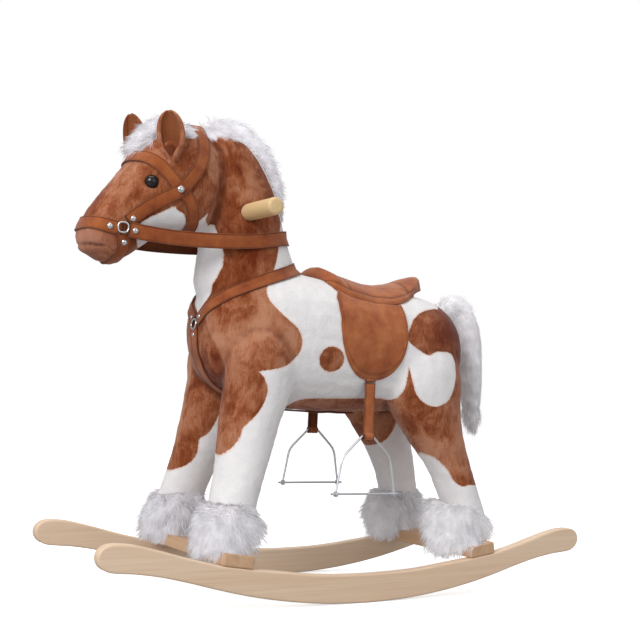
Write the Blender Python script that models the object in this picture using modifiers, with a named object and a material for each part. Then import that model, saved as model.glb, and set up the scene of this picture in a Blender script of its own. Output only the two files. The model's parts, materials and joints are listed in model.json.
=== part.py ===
# Plush rocking horse on a pair of wooden rockers. The horse faces -Y, +X is its left side, +Z is up.
import math

import bpy
import bmesh
from mathutils import Matrix, Vector
from mathutils.bvhtree import BVHTree

for old in list(bpy.data.objects):
    bpy.data.objects.remove(old)

# Driving sizes, in metres
GAP = 0.0003
SOFT_GAP = 0.0009
ROCKER_T = 0.018
ROCKER_X = 0.131
BOARD_LEN = 0.280
BOARD_W = 0.048
BOARD_T = 0.018
BOARD_Y = 0.219
BOARD_Z = 0.0610
BOARD_TILT = math.radians(8.3)
POST_HALF = 0.010
SPINE_BOTTOM = 0.402
SPINE_T = 0.018
DOWEL_R = 0.013
DOWEL_HALF = 0.131
DOWEL_Y = -0.181
DOWEL_Z = 0.5735
WIRE_R = 0.0018
STIRRUP_X = 0.0945
# The right leather is sewn on a little further back than the left one.
STIRRUP_Y = {1: 0.0180, -1: 0.0340}
PIVOT_Z = 0.3180
STRAP_W = 0.0195
LEATHER_W = 0.0185
STRAP_T = 0.0022
LIFT = 0.0015
LOOP_Z = 0.2440
BAR_Z = 0.1560

solids = bpy.data.collections.new("rocking_horse")
cutters = bpy.data.collections.new("cutters")
bpy.context.scene.collection.children.link(solids)
bpy.context.scene.collection.children.link(cutters)
cutters.hide_render = True


def material(name, colour, rough, metal=0.0):
    mat = bpy.data.materials.new(name)
    mat.use_nodes = True
    shader = mat.node_tree.nodes["Principled BSDF"]
    shader.inputs["Base Color"].default_value = (*colour, 1.0)
    shader.inputs["Roughness"].default_value = rough
    shader.inputs["Metallic"].default_value = metal
    mat.diffuse_color = (*colour, 1.0)
    return mat


PINE = material("pine", (0.72, 0.52, 0.32), 0.5)
BEECH = material("beech", (0.74, 0.56, 0.32), 0.45)
BROWN = material("brown_plush", (0.36, 0.14, 0.06), 0.9)
WHITE = material("white_plush", (0.82, 0.80, 0.78), 0.9)
FUR = material("white_long_pile", (0.90, 0.90, 0.92), 0.95)
SUEDE = material("suede", (0.42, 0.17, 0.06), 0.8)
STEEL = material("bright_steel", (0.62, 0.63, 0.65), 0.25, 1.0)
EYE = material("black_eye", (0.01, 0.01, 0.012), 0.08)


def add(name, bm, mat, helper=False):
    bmesh.ops.recalc_face_normals(bm, faces=bm.faces[:])
    mesh = bpy.data.meshes.new(name)
    bm.to_mesh(mesh)
    bm.free()
    obj = bpy.data.objects.new(name, mesh)
    if helper:
        cutters.objects.link(obj)
        obj.hide_render = True
        obj.display_type = "WIRE"
    else:
        solids.objects.link(obj)
        mesh.materials.append(mat)
    return obj


def cut(obj, tool):
    mod = obj.modifiers.new("cut_" + tool.name, "BOOLEAN")
    mod.operation = "DIFFERENCE"
    mod.solver = "EXACT"
    mod.object = tool


def join(obj, tool):
    mod = obj.modifiers.new("join_" + tool.name, "BOOLEAN")
    mod.operation = "UNION"
    mod.solver = "EXACT"
    mod.object = tool


def rings_mesh(rings, closed=False, tips=None):
    """Skins rings of points. tips are the two end points of a domed end, or None for flat ends."""
    bm = bmesh.new()
    rows = [[bm.verts.new(p) for p in ring] for ring in rings]
    count = len(rows[0])
    pairs = list(zip(rows, rows[1:]))
    if closed:
        pairs.append((rows[-1], rows[0]))
    for low, high in pairs:
        for i in range(count):
            j = (i + 1) % count
            bm.faces.new((low[i], low[j], high[j], high[i]))
    if not closed:
        for row, k in ((rows[0], 0), (rows[-1], 1)):
            if tips is None:
                bm.faces.new(row)
                continue
            tip = bm.verts.new(tips[k])
            for i in range(count):
                bm.faces.new((row[i], row[(i + 1) % count], tip))
    return bm


def spline(table, t):
    """Smooth value at t of a table whose rows start with their own parameter."""
    last = len(table) - 1
    i = 0
    while i < last - 1 and t > table[i + 1][0]:
        i += 1
    a = table[max(i - 1, 0)]
    b = table[i]
    c = table[i + 1]
    d = table[min(i + 2, last)]
    span = c[0] - b[0]
    u = min(max((t - b[0]) / span, 0.0), 1.0)
    out = []
    for k in range(1, len(b)):
        before = (c[k] - a[k]) / (c[0] - a[0]) * span
        after = (d[k] - b[k]) / (d[0] - b[0]) * span
        h = 2 * u**3 - 3 * u**2 + 1
        g = u**3 - 2 * u**2 + u
        f = -2 * u**3 + 3 * u**2
        e = u**3 - u**2
        out.append(h * b[k] + g * before + f * c[k] + e * after)
    return out


def superellipse(count, power):
    points = []
    for i in range(count):
        a = 2 * math.pi * (i + 0.5) / count
        c = math.cos(a)
        s = math.sin(a)
        points.append(
            (math.copysign(abs(c) ** power, c), math.copysign(abs(s) ** power, s))
        )
    return points


def plate(name, outline, x_low, x_high, mat, helper=False):
    """A flat plate with an outline in Y and Z, from x_low to x_high."""
    low = [Vector((x_low, y, z)) for y, z in outline]
    high = [Vector((x_high, y, z)) for y, z in outline]
    return add(name, rings_mesh([low, high]), mat, helper)


def soften(obj, width, segments=2, angle=40):
    mod = obj.modifiers.new("soften", "BEVEL")
    mod.width = width
    mod.segments = segments
    mod.limit_method = "ANGLE"
    mod.angle_limit = math.radians(angle)
    return mod


# ---------------------------------------------------------------- rockers and crossboards
# Half outlines of a rocker, as y and z. The upper edge is flat where a crossboard sits.
ROCKER_UNDER = [
    (0.012, 0.0000),
    (0.060, 0.0019),
    (0.108, 0.0060),
    (0.156, 0.0125),
    (0.204, 0.0213),
    (0.250, 0.0322),
    (0.290, 0.0428),
    (0.330, 0.0521),
    (0.368, 0.0583),
    (0.390, 0.0602),
    (0.409, 0.0628),
    (0.4205, 0.0705),
    (0.425, 0.0815),
]
ROCKER_TOP = [
    (0.4205, 0.0930),
    (0.409, 0.0985),
    (0.390, 0.0988),
    (0.368, 0.0957),
    (0.330, 0.0862),
    (0.290, 0.0752),
    (0.262, 0.0684),
    (BOARD_Y + 0.028, BOARD_Z - GAP + 0.028 * math.tan(BOARD_TILT)),
    (BOARD_Y - 0.028, BOARD_Z - GAP - 0.028 * math.tan(BOARD_TILT)),
    (0.150, 0.0520),
    (0.105, 0.0467),
    (0.060, 0.0434),
    (0.020, 0.0421),
]


def rocker_outline():
    half = ROCKER_UNDER + ROCKER_TOP
    return half + [(-y, z) for y, z in reversed(half)]


for side, name in ((1, "rocker_left"), (-1, "rocker_right")):
    x_in = side * (ROCKER_X - ROCKER_T / 2)
    x_out = side * (ROCKER_X + ROCKER_T / 2)
    obj = plate(name, rocker_outline(), min(x_in, x_out), max(x_in, x_out), PINE)
    soften(obj, 0.0025)


def board_frame(end):
    """Placement of a crossboard: origin in the middle of its underside, local Z out of its top."""
    return Matrix.Translation((0, end * BOARD_Y, BOARD_Z)) @ Matrix.Rotation(
        end * BOARD_TILT, 4, "X"
    )


def block(name, size, centre, matrix, mat, helper=False):
    bm = bmesh.new()
    bmesh.ops.create_cube(bm, size=1.0)
    bmesh.ops.scale(bm, vec=size, verts=bm.verts)
    bmesh.ops.translate(bm, vec=centre, verts=bm.verts)
    bmesh.ops.transform(bm, matrix=matrix, verts=bm.verts)
    return add(name, bm, mat, helper)


def rod(name, radius, start, end, mat, helper=False, sides=16):
    """A round rod between two points."""
    start = Vector(start)
    end = Vector(end)
    bm = bmesh.new()
    bmesh.ops.create_cone(
        bm,
        cap_ends=True,
        segments=sides,
        radius1=radius,
        radius2=radius,
        depth=(end - start).length,
    )
    turn = (end - start).to_track_quat("Z", "Y").to_matrix().to_4x4()
    matrix = Matrix.Translation((start + end) / 2) @ turn
    bmesh.ops.transform(bm, matrix=matrix, verts=bm.verts)
    return add(name, bm, mat, helper)


ENDS = ((-1, "front"), (1, "rear"))
SIDES = ((1, "left"), (-1, "right"))
boards = {}
for end, word in ENDS:
    boards[end] = block(
        "crossboard_" + word,
        (BOARD_LEN, BOARD_W, BOARD_T),
        (0, 0, BOARD_T / 2),
        board_frame(end),
        PINE,
    )
    soften(boards[end], 0.002)
rockers = {1: bpy.data.objects["rocker_left"], -1: bpy.data.objects["rocker_right"]}

# One bolt at each crossing: a countersunk head in the board, a cross nut in the rocker.
BOLT_R = 0.003
HEAD_R = 0.0062
NUT_R = 0.005
for end, word in ENDS:
    frame = board_frame(end)
    for side, hand in SIDES:
        tag = word + "_" + hand
        x = side * ROCKER_X
        profile = [
            (HEAD_R, BOARD_T - 0.0003),
            (HEAD_R, BOARD_T - 0.0015),
            (BOLT_R, BOARD_T - 0.0050),
            (BOLT_R, -0.0150),
        ]
        hole = [
            (HEAD_R + GAP, BOARD_T + 0.001),
            (HEAD_R + GAP, BOARD_T - 0.0017),
            (BOLT_R + GAP, BOARD_T - 0.0053),
            (BOLT_R + GAP, -0.0250),
        ]
        for kind, lines in (("bolt", profile), ("bolt_hole", hole)):
            rings = []
            for r, z in lines:
                ring = []
                for k in range(16):
                    a = 2 * math.pi * k / 16
                    ring.append(frame @ Vector((x + r * math.cos(a), r * math.sin(a), z)))
                rings.append(ring)
            helper = kind != "bolt"
            name = ("board_bolt_" if not helper else "bolt_hole_") + tag
            obj = add(name, rings_mesh(rings), STEEL, helper)
            if helper:
                cut(boards[end], obj)
                cut(rockers[side], obj)
        inner = frame @ Vector((side * (ROCKER_X - ROCKER_T / 2 + 0.0003), 0, -0.0225))
        outer = frame @ Vector((side * (ROCKER_X + 0.0050), 0, -0.0225))
        past = frame @ Vector((side * (ROCKER_X - ROCKER_T / 2 - 0.002), 0, -0.0225))
        deep = frame @ Vector((side * (ROCKER_X + 0.0053), 0, -0.0225))
        rod("cross_nut_" + tag, NUT_R, inner, outer, STEEL)
        cut(rockers[side], rod("nut_hole_" + tag, NUT_R + GAP, past, deep, None, True))

# ---------------------------------------------------------------- plush body
# y, underside, top, half width
TORSO = [
    (-0.233, 0.355, 0.438, 0.042),
    (-0.224, 0.335, 0.454, 0.060),
    (-0.202, 0.312, 0.472, 0.079),
    (-0.160, 0.292, 0.487, 0.094),
    (-0.110, 0.282, 0.493, 0.102),
    (-0.050, 0.279, 0.489, 0.104),
    (0.010, 0.279, 0.481, 0.103),
    (0.070, 0.280, 0.476, 0.103),
    (0.120, 0.284, 0.476, 0.104),
    (0.162, 0.292, 0.473, 0.100),
    (0.192, 0.305, 0.461, 0.089),
    (0.214, 0.324, 0.439, 0.070),
    (0.229, 0.348, 0.412, 0.044),
]
TORSO_POWER = 0.86
TORSO_SIDES = 28


def torso_point(y, a, out):
    """A point of the torso's skin at y. a turns from the top (0) towards +X."""
    low, high, wide = spline(TORSO, y)
    c = math.cos(a)
    s = math.sin(a)
    x = (wide + out) * math.copysign(abs(s) ** TORSO_POWER, s)
    z = ((high - low) / 2 + out) * math.copysign(abs(c) ** TORSO_POWER, c)
    return Vector((x, y, (low + high) / 2 + z))


def torso_mesh(out):
    first = TORSO[0][0]
    last = TORSO[-1][0]
    rows = 20
    rings = []
    for i in range(rows + 1):
        u = i / rows
        eased = u - math.sin(2 * math.pi * u) * 0.085
        y = first + (last - first) * eased
        shift = out * (2 * u - 1)
        ring = []
        for k in range(TORSO_SIDES):
            p = torso_point(y, 2 * math.pi * (k + 0.5) / TORSO_SIDES, out)
            ring.append(p + Vector((0, shift, 0)))
        rings.append(ring)
    tips = ((0, first - 0.006 - out, 0.389), (0, last + 0.007 + out, 0.380))
    return rings_mesh(rings, tips=tips)


# parameter, front or top point (y, z), back or under point (y, z), half width
NECK = [
    (0, -0.226, 0.430, -0.074, 0.436, 0.060),
    (1, -0.2410, 0.460, -0.074, 0.482, 0.061),
    (2, -0.2390, 0.490, -0.088, 0.520, 0.058),
    (3, -0.2355, 0.522, -0.103, 0.558, 0.053),
    (4, -0.2400, 0.560, -0.115, 0.600, 0.050),
    (5, -0.246, 0.600, -0.131, 0.640, 0.048),
    (6, -0.254, 0.640, -0.158, 0.673, 0.044),
    (7, -0.260, 0.672, -0.195, 0.691, 0.036),
    (8, -0.262, 0.690, -0.232, 0.697, 0.020),
]
HEAD = [
    (0, -0.232, 0.680, -0.222, 0.612, 0.038),
    (1, -0.262, 0.697, -0.233, 0.545, 0.053),
    (2, -0.300, 0.690, -0.251, 0.528, 0.059),
    (3, -0.334, 0.667, -0.276, 0.528, 0.060),
    (4, -0.358, 0.635, -0.302, 0.526, 0.056),
    (5, -0.380, 0.604, -0.326, 0.516, 0.049),
    (6, -0.401, 0.576, -0.344, 0.502, 0.043),
    (7, -0.416, 0.553, -0.360, 0.490, 0.041),
    (8, -0.4240, 0.533, -0.378, 0.483, 0.038),
    (9, -0.4270, 0.514, -0.397, 0.484, 0.026),
]


def pair_mesh(table, steps, sides, power, out, tips):
    """A closed loft whose sections stand between a point of the front line and one of the back line."""
    last = table[-1][0]
    outline = superellipse(sides, power)
    rings = []
    for i in range(steps + 1):
        t = last * i / steps
        ya, za, yb, zb, wide = spline(table, t)
        front = Vector((0, ya, za))
        back = Vector((0, yb, zb))
        half = (front - back) / 2
        half = half.normalized() * (half.length + out)
        middle = (front + back) / 2
        rings.append(
            [middle + half * v + Vector((u * (wide + out), 0, 0)) for u, v in outline]
        )
    ends = []
    for tip, ring in zip(tips, (rings[0], rings[-1])):
        middle = sum(ring, Vector()) / len(ring)
        away = (Vector(tip) - middle).normalized()
        ends.append(Vector(tip) + away * out)
    return rings_mesh(rings, tips=ends)


def neck_mesh(out):
    return pair_mesh(NECK, 14, 20, 1.0, out, ((0, -0.15, 0.4265), (0, -0.249, 0.700)))


def head_mesh(out):
    return pair_mesh(HEAD, 16, 20, 0.92, out, ((0, -0.224, 0.648), (0, -0.4275, 0.4965)))


# z, x, y, half width in X, half length in Y
LEG_FRONT = [
    (0.0845, 0.0970, -0.2190, 0.033, 0.036),
    (0.120, 0.0910, -0.2120, 0.033, 0.036),
    (0.150, 0.0850, -0.2040, 0.034, 0.037),
    (0.200, 0.0760, -0.1895, 0.037, 0.0395),
    (0.250, 0.0680, -0.1770, 0.041, 0.045),
    (0.290, 0.0640, -0.1660, 0.044, 0.051),
    (0.330, 0.0620, -0.1590, 0.046, 0.055),
    (0.365, 0.0610, -0.1580, 0.044, 0.056),
    (0.390, 0.0590, -0.1570, 0.036, 0.046),
]
LEG_REAR = [
    (0.0845, 0.0970, 0.2210, 0.033, 0.034),
    (0.120, 0.0910, 0.2170, 0.033, 0.033),
    (0.150, 0.0860, 0.2080, 0.034, 0.034),
    (0.190, 0.0800, 0.1930, 0.036, 0.037),
    (0.220, 0.0760, 0.1770, 0.039, 0.043),
    (0.250, 0.0730, 0.1600, 0.043, 0.051),
    (0.290, 0.0710, 0.1420, 0.047, 0.065),
    (0.330, 0.0690, 0.1340, 0.049, 0.075),
    (0.365, 0.0660, 0.1320, 0.045, 0.073),
    (0.390, 0.0610, 0.1320, 0.036, 0.060),
]


def board_top(y, end):
    """Height of a crossboard's upper face at y."""
    slope = math.tan(BOARD_TILT)
    centre = board_frame(end) @ Vector((0, 0, BOARD_T))
    return centre.z + (y - centre.y) * slope * end


def leg_mesh(table, end, side, out, steps=13, sides=18):
    rings = []
    first = table[0][0]
    last = table[-1][0]
    for i in range(steps + 1):
        z = first + (last - first) * i / steps
        xc, yc, rx, ry = spline(table, z)
        ring = []
        for k in range(sides):
            a = 2 * math.pi * (k + 0.5) / sides
            y = yc + (ry + out) * math.sin(a)
            height = z
            if i == 0:
                height = board_top(y, end) + GAP - 2 * out
            ring.append(Vector((side * (xc + (rx + out) * math.cos(a)), y, height)))
        rings.append(ring)
    bottom = sum(rings[0], Vector()) / sides
    top = sum(rings[-1], Vector()) / sides + Vector((0, 0, 0.007 + out))
    return rings_mesh(rings, tips=(bottom, top))


# Inner wooden frame
POSTS = {
    -1: (Vector((0.054, -0.152, SPINE_BOTTOM - GAP)), Vector((0.0970, -0.2185, 0))),
    1: (Vector((0.058, 0.138, SPINE_BOTTOM - GAP)), Vector((0.0970, 0.2205, 0))),
}
TENON_R = 0.0075


def post_mesh(end, side, out, reach):
    top, foot = POSTS[end]
    foot = foot.copy()
    foot.z = board_top(foot.y, end)
    half = POST_HALF + out
    along = (top - foot) / (top.z - foot.z)
    rings = []
    for point, low in ((foot, True), (top, False)):
        ring = []
        for u, v in ((-1, -1), (1, -1), (1, 1), (-1, 1)):
            p = point + Vector((u * half, v * half, 0))
            if low:
                p += along * (board_top(p.y, end) + GAP - p.z - reach)
            else:
                p += along * reach
            ring.append(Vector((side * p.x, p.y, p.z)))
        rings.append(ring)
    return rings_mesh(rings)


posts = {}
post_holes = {}
for end, word in ENDS:
    for side, hand in SIDES:
        tag = word + "_" + hand
        posts[end, side] = add("leg_post_" + tag, post_mesh(end, side, 0, 0), BEECH)
        post_holes[end, side] = add(
            "post_hole_" + tag, post_mesh(end, side, GAP, 0.004), None, True
        )
        top, foot = POSTS[end]
        base = Vector((side * foot.x, foot.y, board_top(foot.y, end)))
        along = (board_frame(end).to_3x3() @ Vector((0, 0, 1))).normalized()
        peg = rod("tenon_" + tag, TENON_R, base + along * 0.006, base - along * 0.0165, None, True)
        join(posts[end, side], peg)
        hole = rod(
            "tenon_hole_" + tag,
            TENON_R + GAP,
            base + along * 0.002,
            base - along * 0.020,
            None,
            True,
        )
        cut(boards[end], hole)

spine = block(
    "spine_board",
    (0.140, 0.340, SPINE_T),
    (0, -0.012, SPINE_BOTTOM + SPINE_T / 2),
    Matrix.Identity(4),
    BEECH,
)
spine_hole = block(
    "spine_hole",
    (0.140 + 2 * GAP, 0.340 + 2 * GAP, SPINE_T + 2 * GAP),
    (0, -0.012, SPINE_BOTTOM + SPINE_T / 2),
    Matrix.Identity(4),
    None,
    True,
)
NECK_BOARD = [
    (-0.192, 0.0),
    (-0.096, 0.0),
    (-0.116, 0.130),
    (-0.130, 0.178),
    (-0.156, 0.206),
    (-0.190, 0.214),
    (-0.208, 0.196),
    (-0.204, 0.140),
]
neck_base = SPINE_BOTTOM + SPINE_T + GAP
neck_board = plate(
    "neck_board", [(y, neck_base + z) for y, z in NECK_BOARD], -0.006, 0.006, BEECH
)
centre_y = sum(y for y, z in NECK_BOARD) / len(NECK_BOARD)
grown = []
for y, z in NECK_BOARD:
    away = 1 if y > centre_y else -1
    grown.append((y + away * 0.0006, neck_base + z + (0.0006 if z > 0 else -0.003)))
neck_board_hole = plate("neck_board_hole", grown, -0.006 - GAP, 0.006 + GAP, None, True)

dowel_hole = rod(
    "dowel_hole",
    DOWEL_R + GAP,
    (-0.14, DOWEL_Y, DOWEL_Z),
    (0.14, DOWEL_Y, DOWEL_Z),
    None,
    True,
    24,
)
rings = []
for x, r in (
    (-DOWEL_HALF, 0.0070),
    (-DOWEL_HALF + 0.0020, 0.0103),
    (-DOWEL_HALF + 0.0060, DOWEL_R),
    (DOWEL_HALF - 0.0060, DOWEL_R),
    (DOWEL_HALF - 0.0020, 0.0103),
    (DOWEL_HALF, 0.0070),
):
    ring = []
    for k in range(24):
        a = 2 * math.pi * k / 24
        ring.append(Vector((x, DOWEL_Y + r * math.cos(a), DOWEL_Z + r * math.sin(a))))
    rings.append(ring)
add("handle_dowel", rings_mesh(rings), BEECH)
cut(neck_board, dowel_hole)

# Plush solids
torso = add("torso", torso_mesh(0), BROWN)
neck = add("neck", neck_mesh(0), BROWN)
head = add("head", head_mesh(0), BROWN)
neck_cut = add("neck_grown", neck_mesh(SOFT_GAP), None, True)
head_cut = add("head_grown", head_mesh(SOFT_GAP), None, True)
torso_cut = add("torso_grown", torso_mesh(SOFT_GAP), None, True)
cut(neck, head_cut)
cut(neck, neck_board_hole)
cut(neck, dowel_hole)
cut(torso, neck_cut)
cut(torso, spine_hole)
cut(torso, neck_board_hole)
legs = {}
for end, word in ENDS:
    table = LEG_FRONT if end < 0 else LEG_REAR
    for side, hand in SIDES:
        tag = word + "_" + hand
        legs[end, side] = add("leg_" + tag, leg_mesh(table, end, side, 0), WHITE)
        grown_leg = add("leg_grown_" + tag, leg_mesh(table, end, side, SOFT_GAP), None, True)
        cut(legs[end, side], post_holes[end, side])
        cut(torso, grown_leg)
        cut(torso, post_holes[end, side])


def cuff_mesh(table, end, side, sides=18):
    """A fur cuff round a leg's foot: inner wall on the leg, round outer wall."""
    rows = []
    for z, out, back in (
        (0.0, 0.006, 0.002),
        (0.010, 0.010, 0.006),
        (0.024, 0.011, 0.012),
        (0.040, 0.009, 0.012),
        (0.052, 0.006, 0.006),
        (0.059, 0.0030, 0.001),
    ):
        rows.append((z, out, back))
    rings = []
    for z, out, back in rows + [(z, None, None) for z, out, back in reversed(rows)]:
        height = table[0][0] + z
        xc, yc, rx, ry = spline(table, height)
        ring = []
        for k in range(sides):
            a = 2 * math.pi * (k + 0.5) / sides
            c = math.cos(a)
            s = math.sin(a)
            if out is None:
                grow = 0.0016
            else:
                grow = out + back * max(s, 0) ** 2 + 0.5 * back * max(-s, 0) ** 2
            y = yc + (ry + grow) * s
            low = board_top(y, end) + GAP
            top = height
            ring.append(Vector((side * (xc + (rx + grow) * c), y, max(low, top) if z > 0 else low)))
        rings.append(ring)
    return rings_mesh(rings, closed=True)


for end, word in ENDS:
    table = LEG_FRONT if end < 0 else LEG_REAR
    for side, hand in SIDES:
        add("fur_cuff_" + word + "_" + hand, cuff_mesh(table, end, side), FUR)


# Eyes, ears, mane, forelock and tail
EYE_R = 0.0095
EYE_AT = (0.0462, -0.3405, 0.5975)


def ball(name, radius, centre, mat, helper=False):
    bm = bmesh.new()
    bmesh.ops.create_uvsphere(bm, u_segments=16, v_segments=10, radius=radius)
    bmesh.ops.translate(bm, vec=centre, verts=bm.verts)
    return add(name, bm, mat, helper)


for side, hand in SIDES:
    centre = (side * EYE_AT[0], EYE_AT[1], EYE_AT[2])
    ball("eye_" + hand, EYE_R, centre, EYE)
    cut(head, ball("eye_socket_" + hand, EYE_R + GAP, centre, None, True))

# share of the ear's height, half width, wall
EAR = [
    (0.00, 0.0145, 0.0050),
    (0.16, 0.0188, 0.0055),
    (0.38, 0.0212, 0.0056),
    (0.62, 0.0202, 0.0054),
    (0.84, 0.0158, 0.0048),
    (0.95, 0.0100, 0.0036),
    (1.00, 0.0045, 0.0024),
]
# The right ear is sewn on a little further forward, and both are turned towards the left.
EAR_BASE = {1: (0.0470, -0.3070, 0.6270), -1: (-0.0465, -0.3250, 0.6410)}
EAR_TIP = {1: (0.0520, -0.3230, 0.7030), -1: (-0.0515, -0.3400, 0.7150)}
EAR_FACING = {1: (0.55, -0.84, 0.0), -1: (0.20, -0.98, 0.0)}
for side, hand in SIDES:
    base = Vector(EAR_BASE[side])
    tip = Vector(EAR_TIP[side])
    along = (tip - base).normalized()
    facing = Vector(EAR_FACING[side])
    facing = (facing - along * facing.dot(along)).normalized()
    across = along.cross(facing)
    rings = []
    for share, half, wall in EAR:
        middle = base + (tip - base) * share
        ring = []
        for r, order in ((half, 1), (half - wall, -1)):
            for k in range(7):
                a = math.radians(105) * (k / 3 - 1) * order
                depth = -math.cos(a) * r * 0.75 + half * 0.3
                ring.append(middle + facing * depth + across * (math.sin(a) * r))
        rings.append(ring)
    cut(add("ear_" + hand, rings_mesh(rings), BROWN), head_cut)


def swept(table, sides, tips, power=1.0, steps=14):
    """A closed loft along a path in the YZ plane: parameter, y, z, half depth, half width."""
    last = table[-1][0]
    outline = superellipse(sides, power)
    rings = []
    for i in range(steps + 1):
        t = last * i / steps
        y, z, deep, wide = spline(table, t)
        ya, za, _, _ = spline(table, max(t - 0.05, 0))
        yb, zb, _, _ = spline(table, min(t + 0.05, last))
        way = Vector((0, yb - ya, zb - za)).normalized()
        normal = Vector((0, -way.z, way.y))
        middle = Vector((0, y, z))
        rings.append(
            [middle + Vector((wide * u, 0, 0)) + normal * (deep * v) for u, v in outline]
        )
    return rings_mesh(rings, tips=tips)


MANE = [
    (0, -0.2440, 0.699, 0.013, 0.018),
    (1, -0.2150, 0.705, 0.016, 0.022),
    (2, -0.1830, 0.699, 0.017, 0.024),
    (3, -0.1580, 0.682, 0.017, 0.025),
    (4, -0.1395, 0.657, 0.016, 0.025),
    (5, -0.1265, 0.629, 0.015, 0.024),
    (6, -0.1180, 0.600, 0.013, 0.022),
    (7, -0.1110, 0.573, 0.008, 0.016),
]
FORELOCK = [
    (0, -0.2810, 0.693, 0.009, 0.018),
    (1, -0.2920, 0.698, 0.013, 0.025),
    (2, -0.3060, 0.692, 0.014, 0.0265),
    (3, -0.3240, 0.680, 0.014, 0.0255),
    (4, -0.3390, 0.664, 0.011, 0.0230),
    (5, -0.3490, 0.649, 0.006, 0.018),
]
TAIL = [
    (0, 0.2230, 0.4500, 0.009, 0.012),
    (1, 0.2340, 0.4640, 0.015, 0.019),
    (2, 0.2560, 0.4650, 0.020, 0.025),
    (3, 0.2765, 0.4450, 0.023, 0.028),
    (4, 0.2880, 0.4120, 0.024, 0.029),
    (5, 0.2930, 0.3720, 0.023, 0.028),
    (6, 0.2960, 0.3320, 0.022, 0.026),
    (7, 0.3000, 0.2940, 0.017, 0.020),
    (8, 0.3040, 0.2660, 0.007, 0.010),
]
mane = add("mane", swept(MANE, 14, ((0, -0.2490, 0.697), (0, -0.1085, 0.5655))), FUR)
cut(mane, neck_cut)
cut(mane, head_cut)
forelock = add("forelock", swept(FORELOCK, 14, ((0, -0.2775, 0.690), (0, -0.3500, 0.6475)), steps=9), FUR)
cut(forelock, head_cut)
tail = add("tail", swept(TAIL, 16, ((0, 0.2220, 0.4470), (0, 0.3050, 0.2600))), FUR)
cut(tail, torso_cut)

# ---------------------------------------------------------------- saddle
# y, thickness, half angle of the edge in degrees, how far the top leans back
SEAT = [
    (-0.043, 0.010, 40, -0.004),
    (-0.034, 0.020, 50, -0.004),
    (-0.012, 0.015, 56, 0.0),
    (0.030, 0.010, 57, 0.0),
    (0.070, 0.011, 56, 0.0),
    (0.098, 0.016, 49, 0.003),
    (0.120, 0.026, 38, 0.011),
    (0.138, 0.034, 26, 0.023),
    (0.148, 0.030, 14, 0.029),
]


def seat_mesh(rows=18, spans=12):
    rings = []
    for i in range(rows + 1):
        y = SEAT[0][0] + (SEAT[-1][0] - SEAT[0][0]) * i / rows
        thick, edge, lean = spline(SEAT, y)
        edge = math.radians(edge)
        ring = []
        for k in range(spans + 1):
            a = edge * (2 * k / spans - 1)
            ring.append(torso_point(y, a, LIFT))
        for k in range(spans + 1):
            share = 1 - 2 * k / spans
            swell = 0.0035 + (thick - 0.0035) * (1 - share**2) ** 0.8
            top = torso_point(y, edge * share, LIFT + swell)
            ring.append(top + Vector((0, lean * (1 - share**2), 0)))
        rings.append(ring)
    return rings_mesh(rings)


add("saddle_seat", seat_mesh(), SUEDE)

FLAP_Y = 0.019
FLAP_HALF = 0.061
FLAP_TOP = 0.4345
FLAP_LOW = 0.3315
FLAP_T = 0.003


def angle_at(y, z):
    low, high, _ = spline(TORSO, y)
    c = (z - (low + high) / 2) / ((high - low) / 2)
    return math.acos(math.copysign(abs(c) ** (1 / TORSO_POWER), c))


def flap_mesh(side, rows=14, spans=8):
    rings = []
    for i in range(rows + 1):
        u = -math.cos(math.pi * i / rows)
        y = FLAP_Y + FLAP_HALF * u
        low = FLAP_LOW + (FLAP_TOP - 0.022 - FLAP_LOW) * (1 - math.sqrt(max(1 - abs(u) ** 2.3, 0)))
        ring = []
        for out, order in ((LIFT, 1), (LIFT + FLAP_T, -1)):
            for k in range(spans + 1):
                share = k / spans if order > 0 else 1 - k / spans
                z = FLAP_TOP + (low - FLAP_TOP) * share
                p = torso_point(y, angle_at(y, z), out)
                ring.append(Vector((side * p.x, p.y, p.z)))
        rings.append(ring)
    return rings_mesh(rings)


for side, hand in SIDES:
    add("saddle_flap_" + hand, flap_mesh(side), SUEDE)

# ---------------------------------------------------------------- stirrups
LOOP_R = 0.0043
HALF_W = LEATHER_W / 2
BOW_HALF = 0.0535
SHOULDER_HALF = 0.0440
SHOULDER_Z = LOOP_Z - 0.032
BAR_HALF = 0.0620


def wire(path, x, radius, sides=10):
    """A round wire along a path in a plane of constant x."""
    points = [Vector((x, y, z)) for y, z in path]
    rings = []
    for i, p in enumerate(points):
        before = (p - points[i - 1]).normalized() if i else None
        after = (points[i + 1] - p).normalized() if i < len(points) - 1 else None
        way = (before + after).normalized() if before and after else before or after
        stretch = 1 / max(way.dot(after or before), 0.5)
        normal = Vector((0, -way.z, way.y)) * stretch
        ring = []
        for k in range(sides):
            a = 2 * math.pi * k / sides
            ring.append(p + Vector((radius * math.cos(a), 0, 0)) + normal * (radius * math.sin(a)))
        rings.append(ring)
    return rings_mesh(rings)


def bow_path():
    """Half of the bow from the middle of the top bar to a foot, softened at its corners."""
    corners = [(0.0, LOOP_Z), (0.0100, LOOP_Z), (SHOULDER_HALF, SHOULDER_Z), (BOW_HALF, BAR_Z + 0.003)]
    half = [corners[0]]
    for a, b, c, cut_back in zip(corners, corners[1:], corners[2:], (0.0022, 0.010)):
        pa, pb, pc = Vector(a), Vector(b), Vector(c)
        start = pb + (pa - pb).normalized() * cut_back
        stop = pb + (pc - pb).normalized() * cut_back
        for u in (0.0, 0.33, 0.67, 1.0):
            p = start * (1 - u) ** 2 + pb * 2 * u * (1 - u) + stop * u**2
            half.append((p.x, p.y))
    half.append(corners[-1])
    return half


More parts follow.
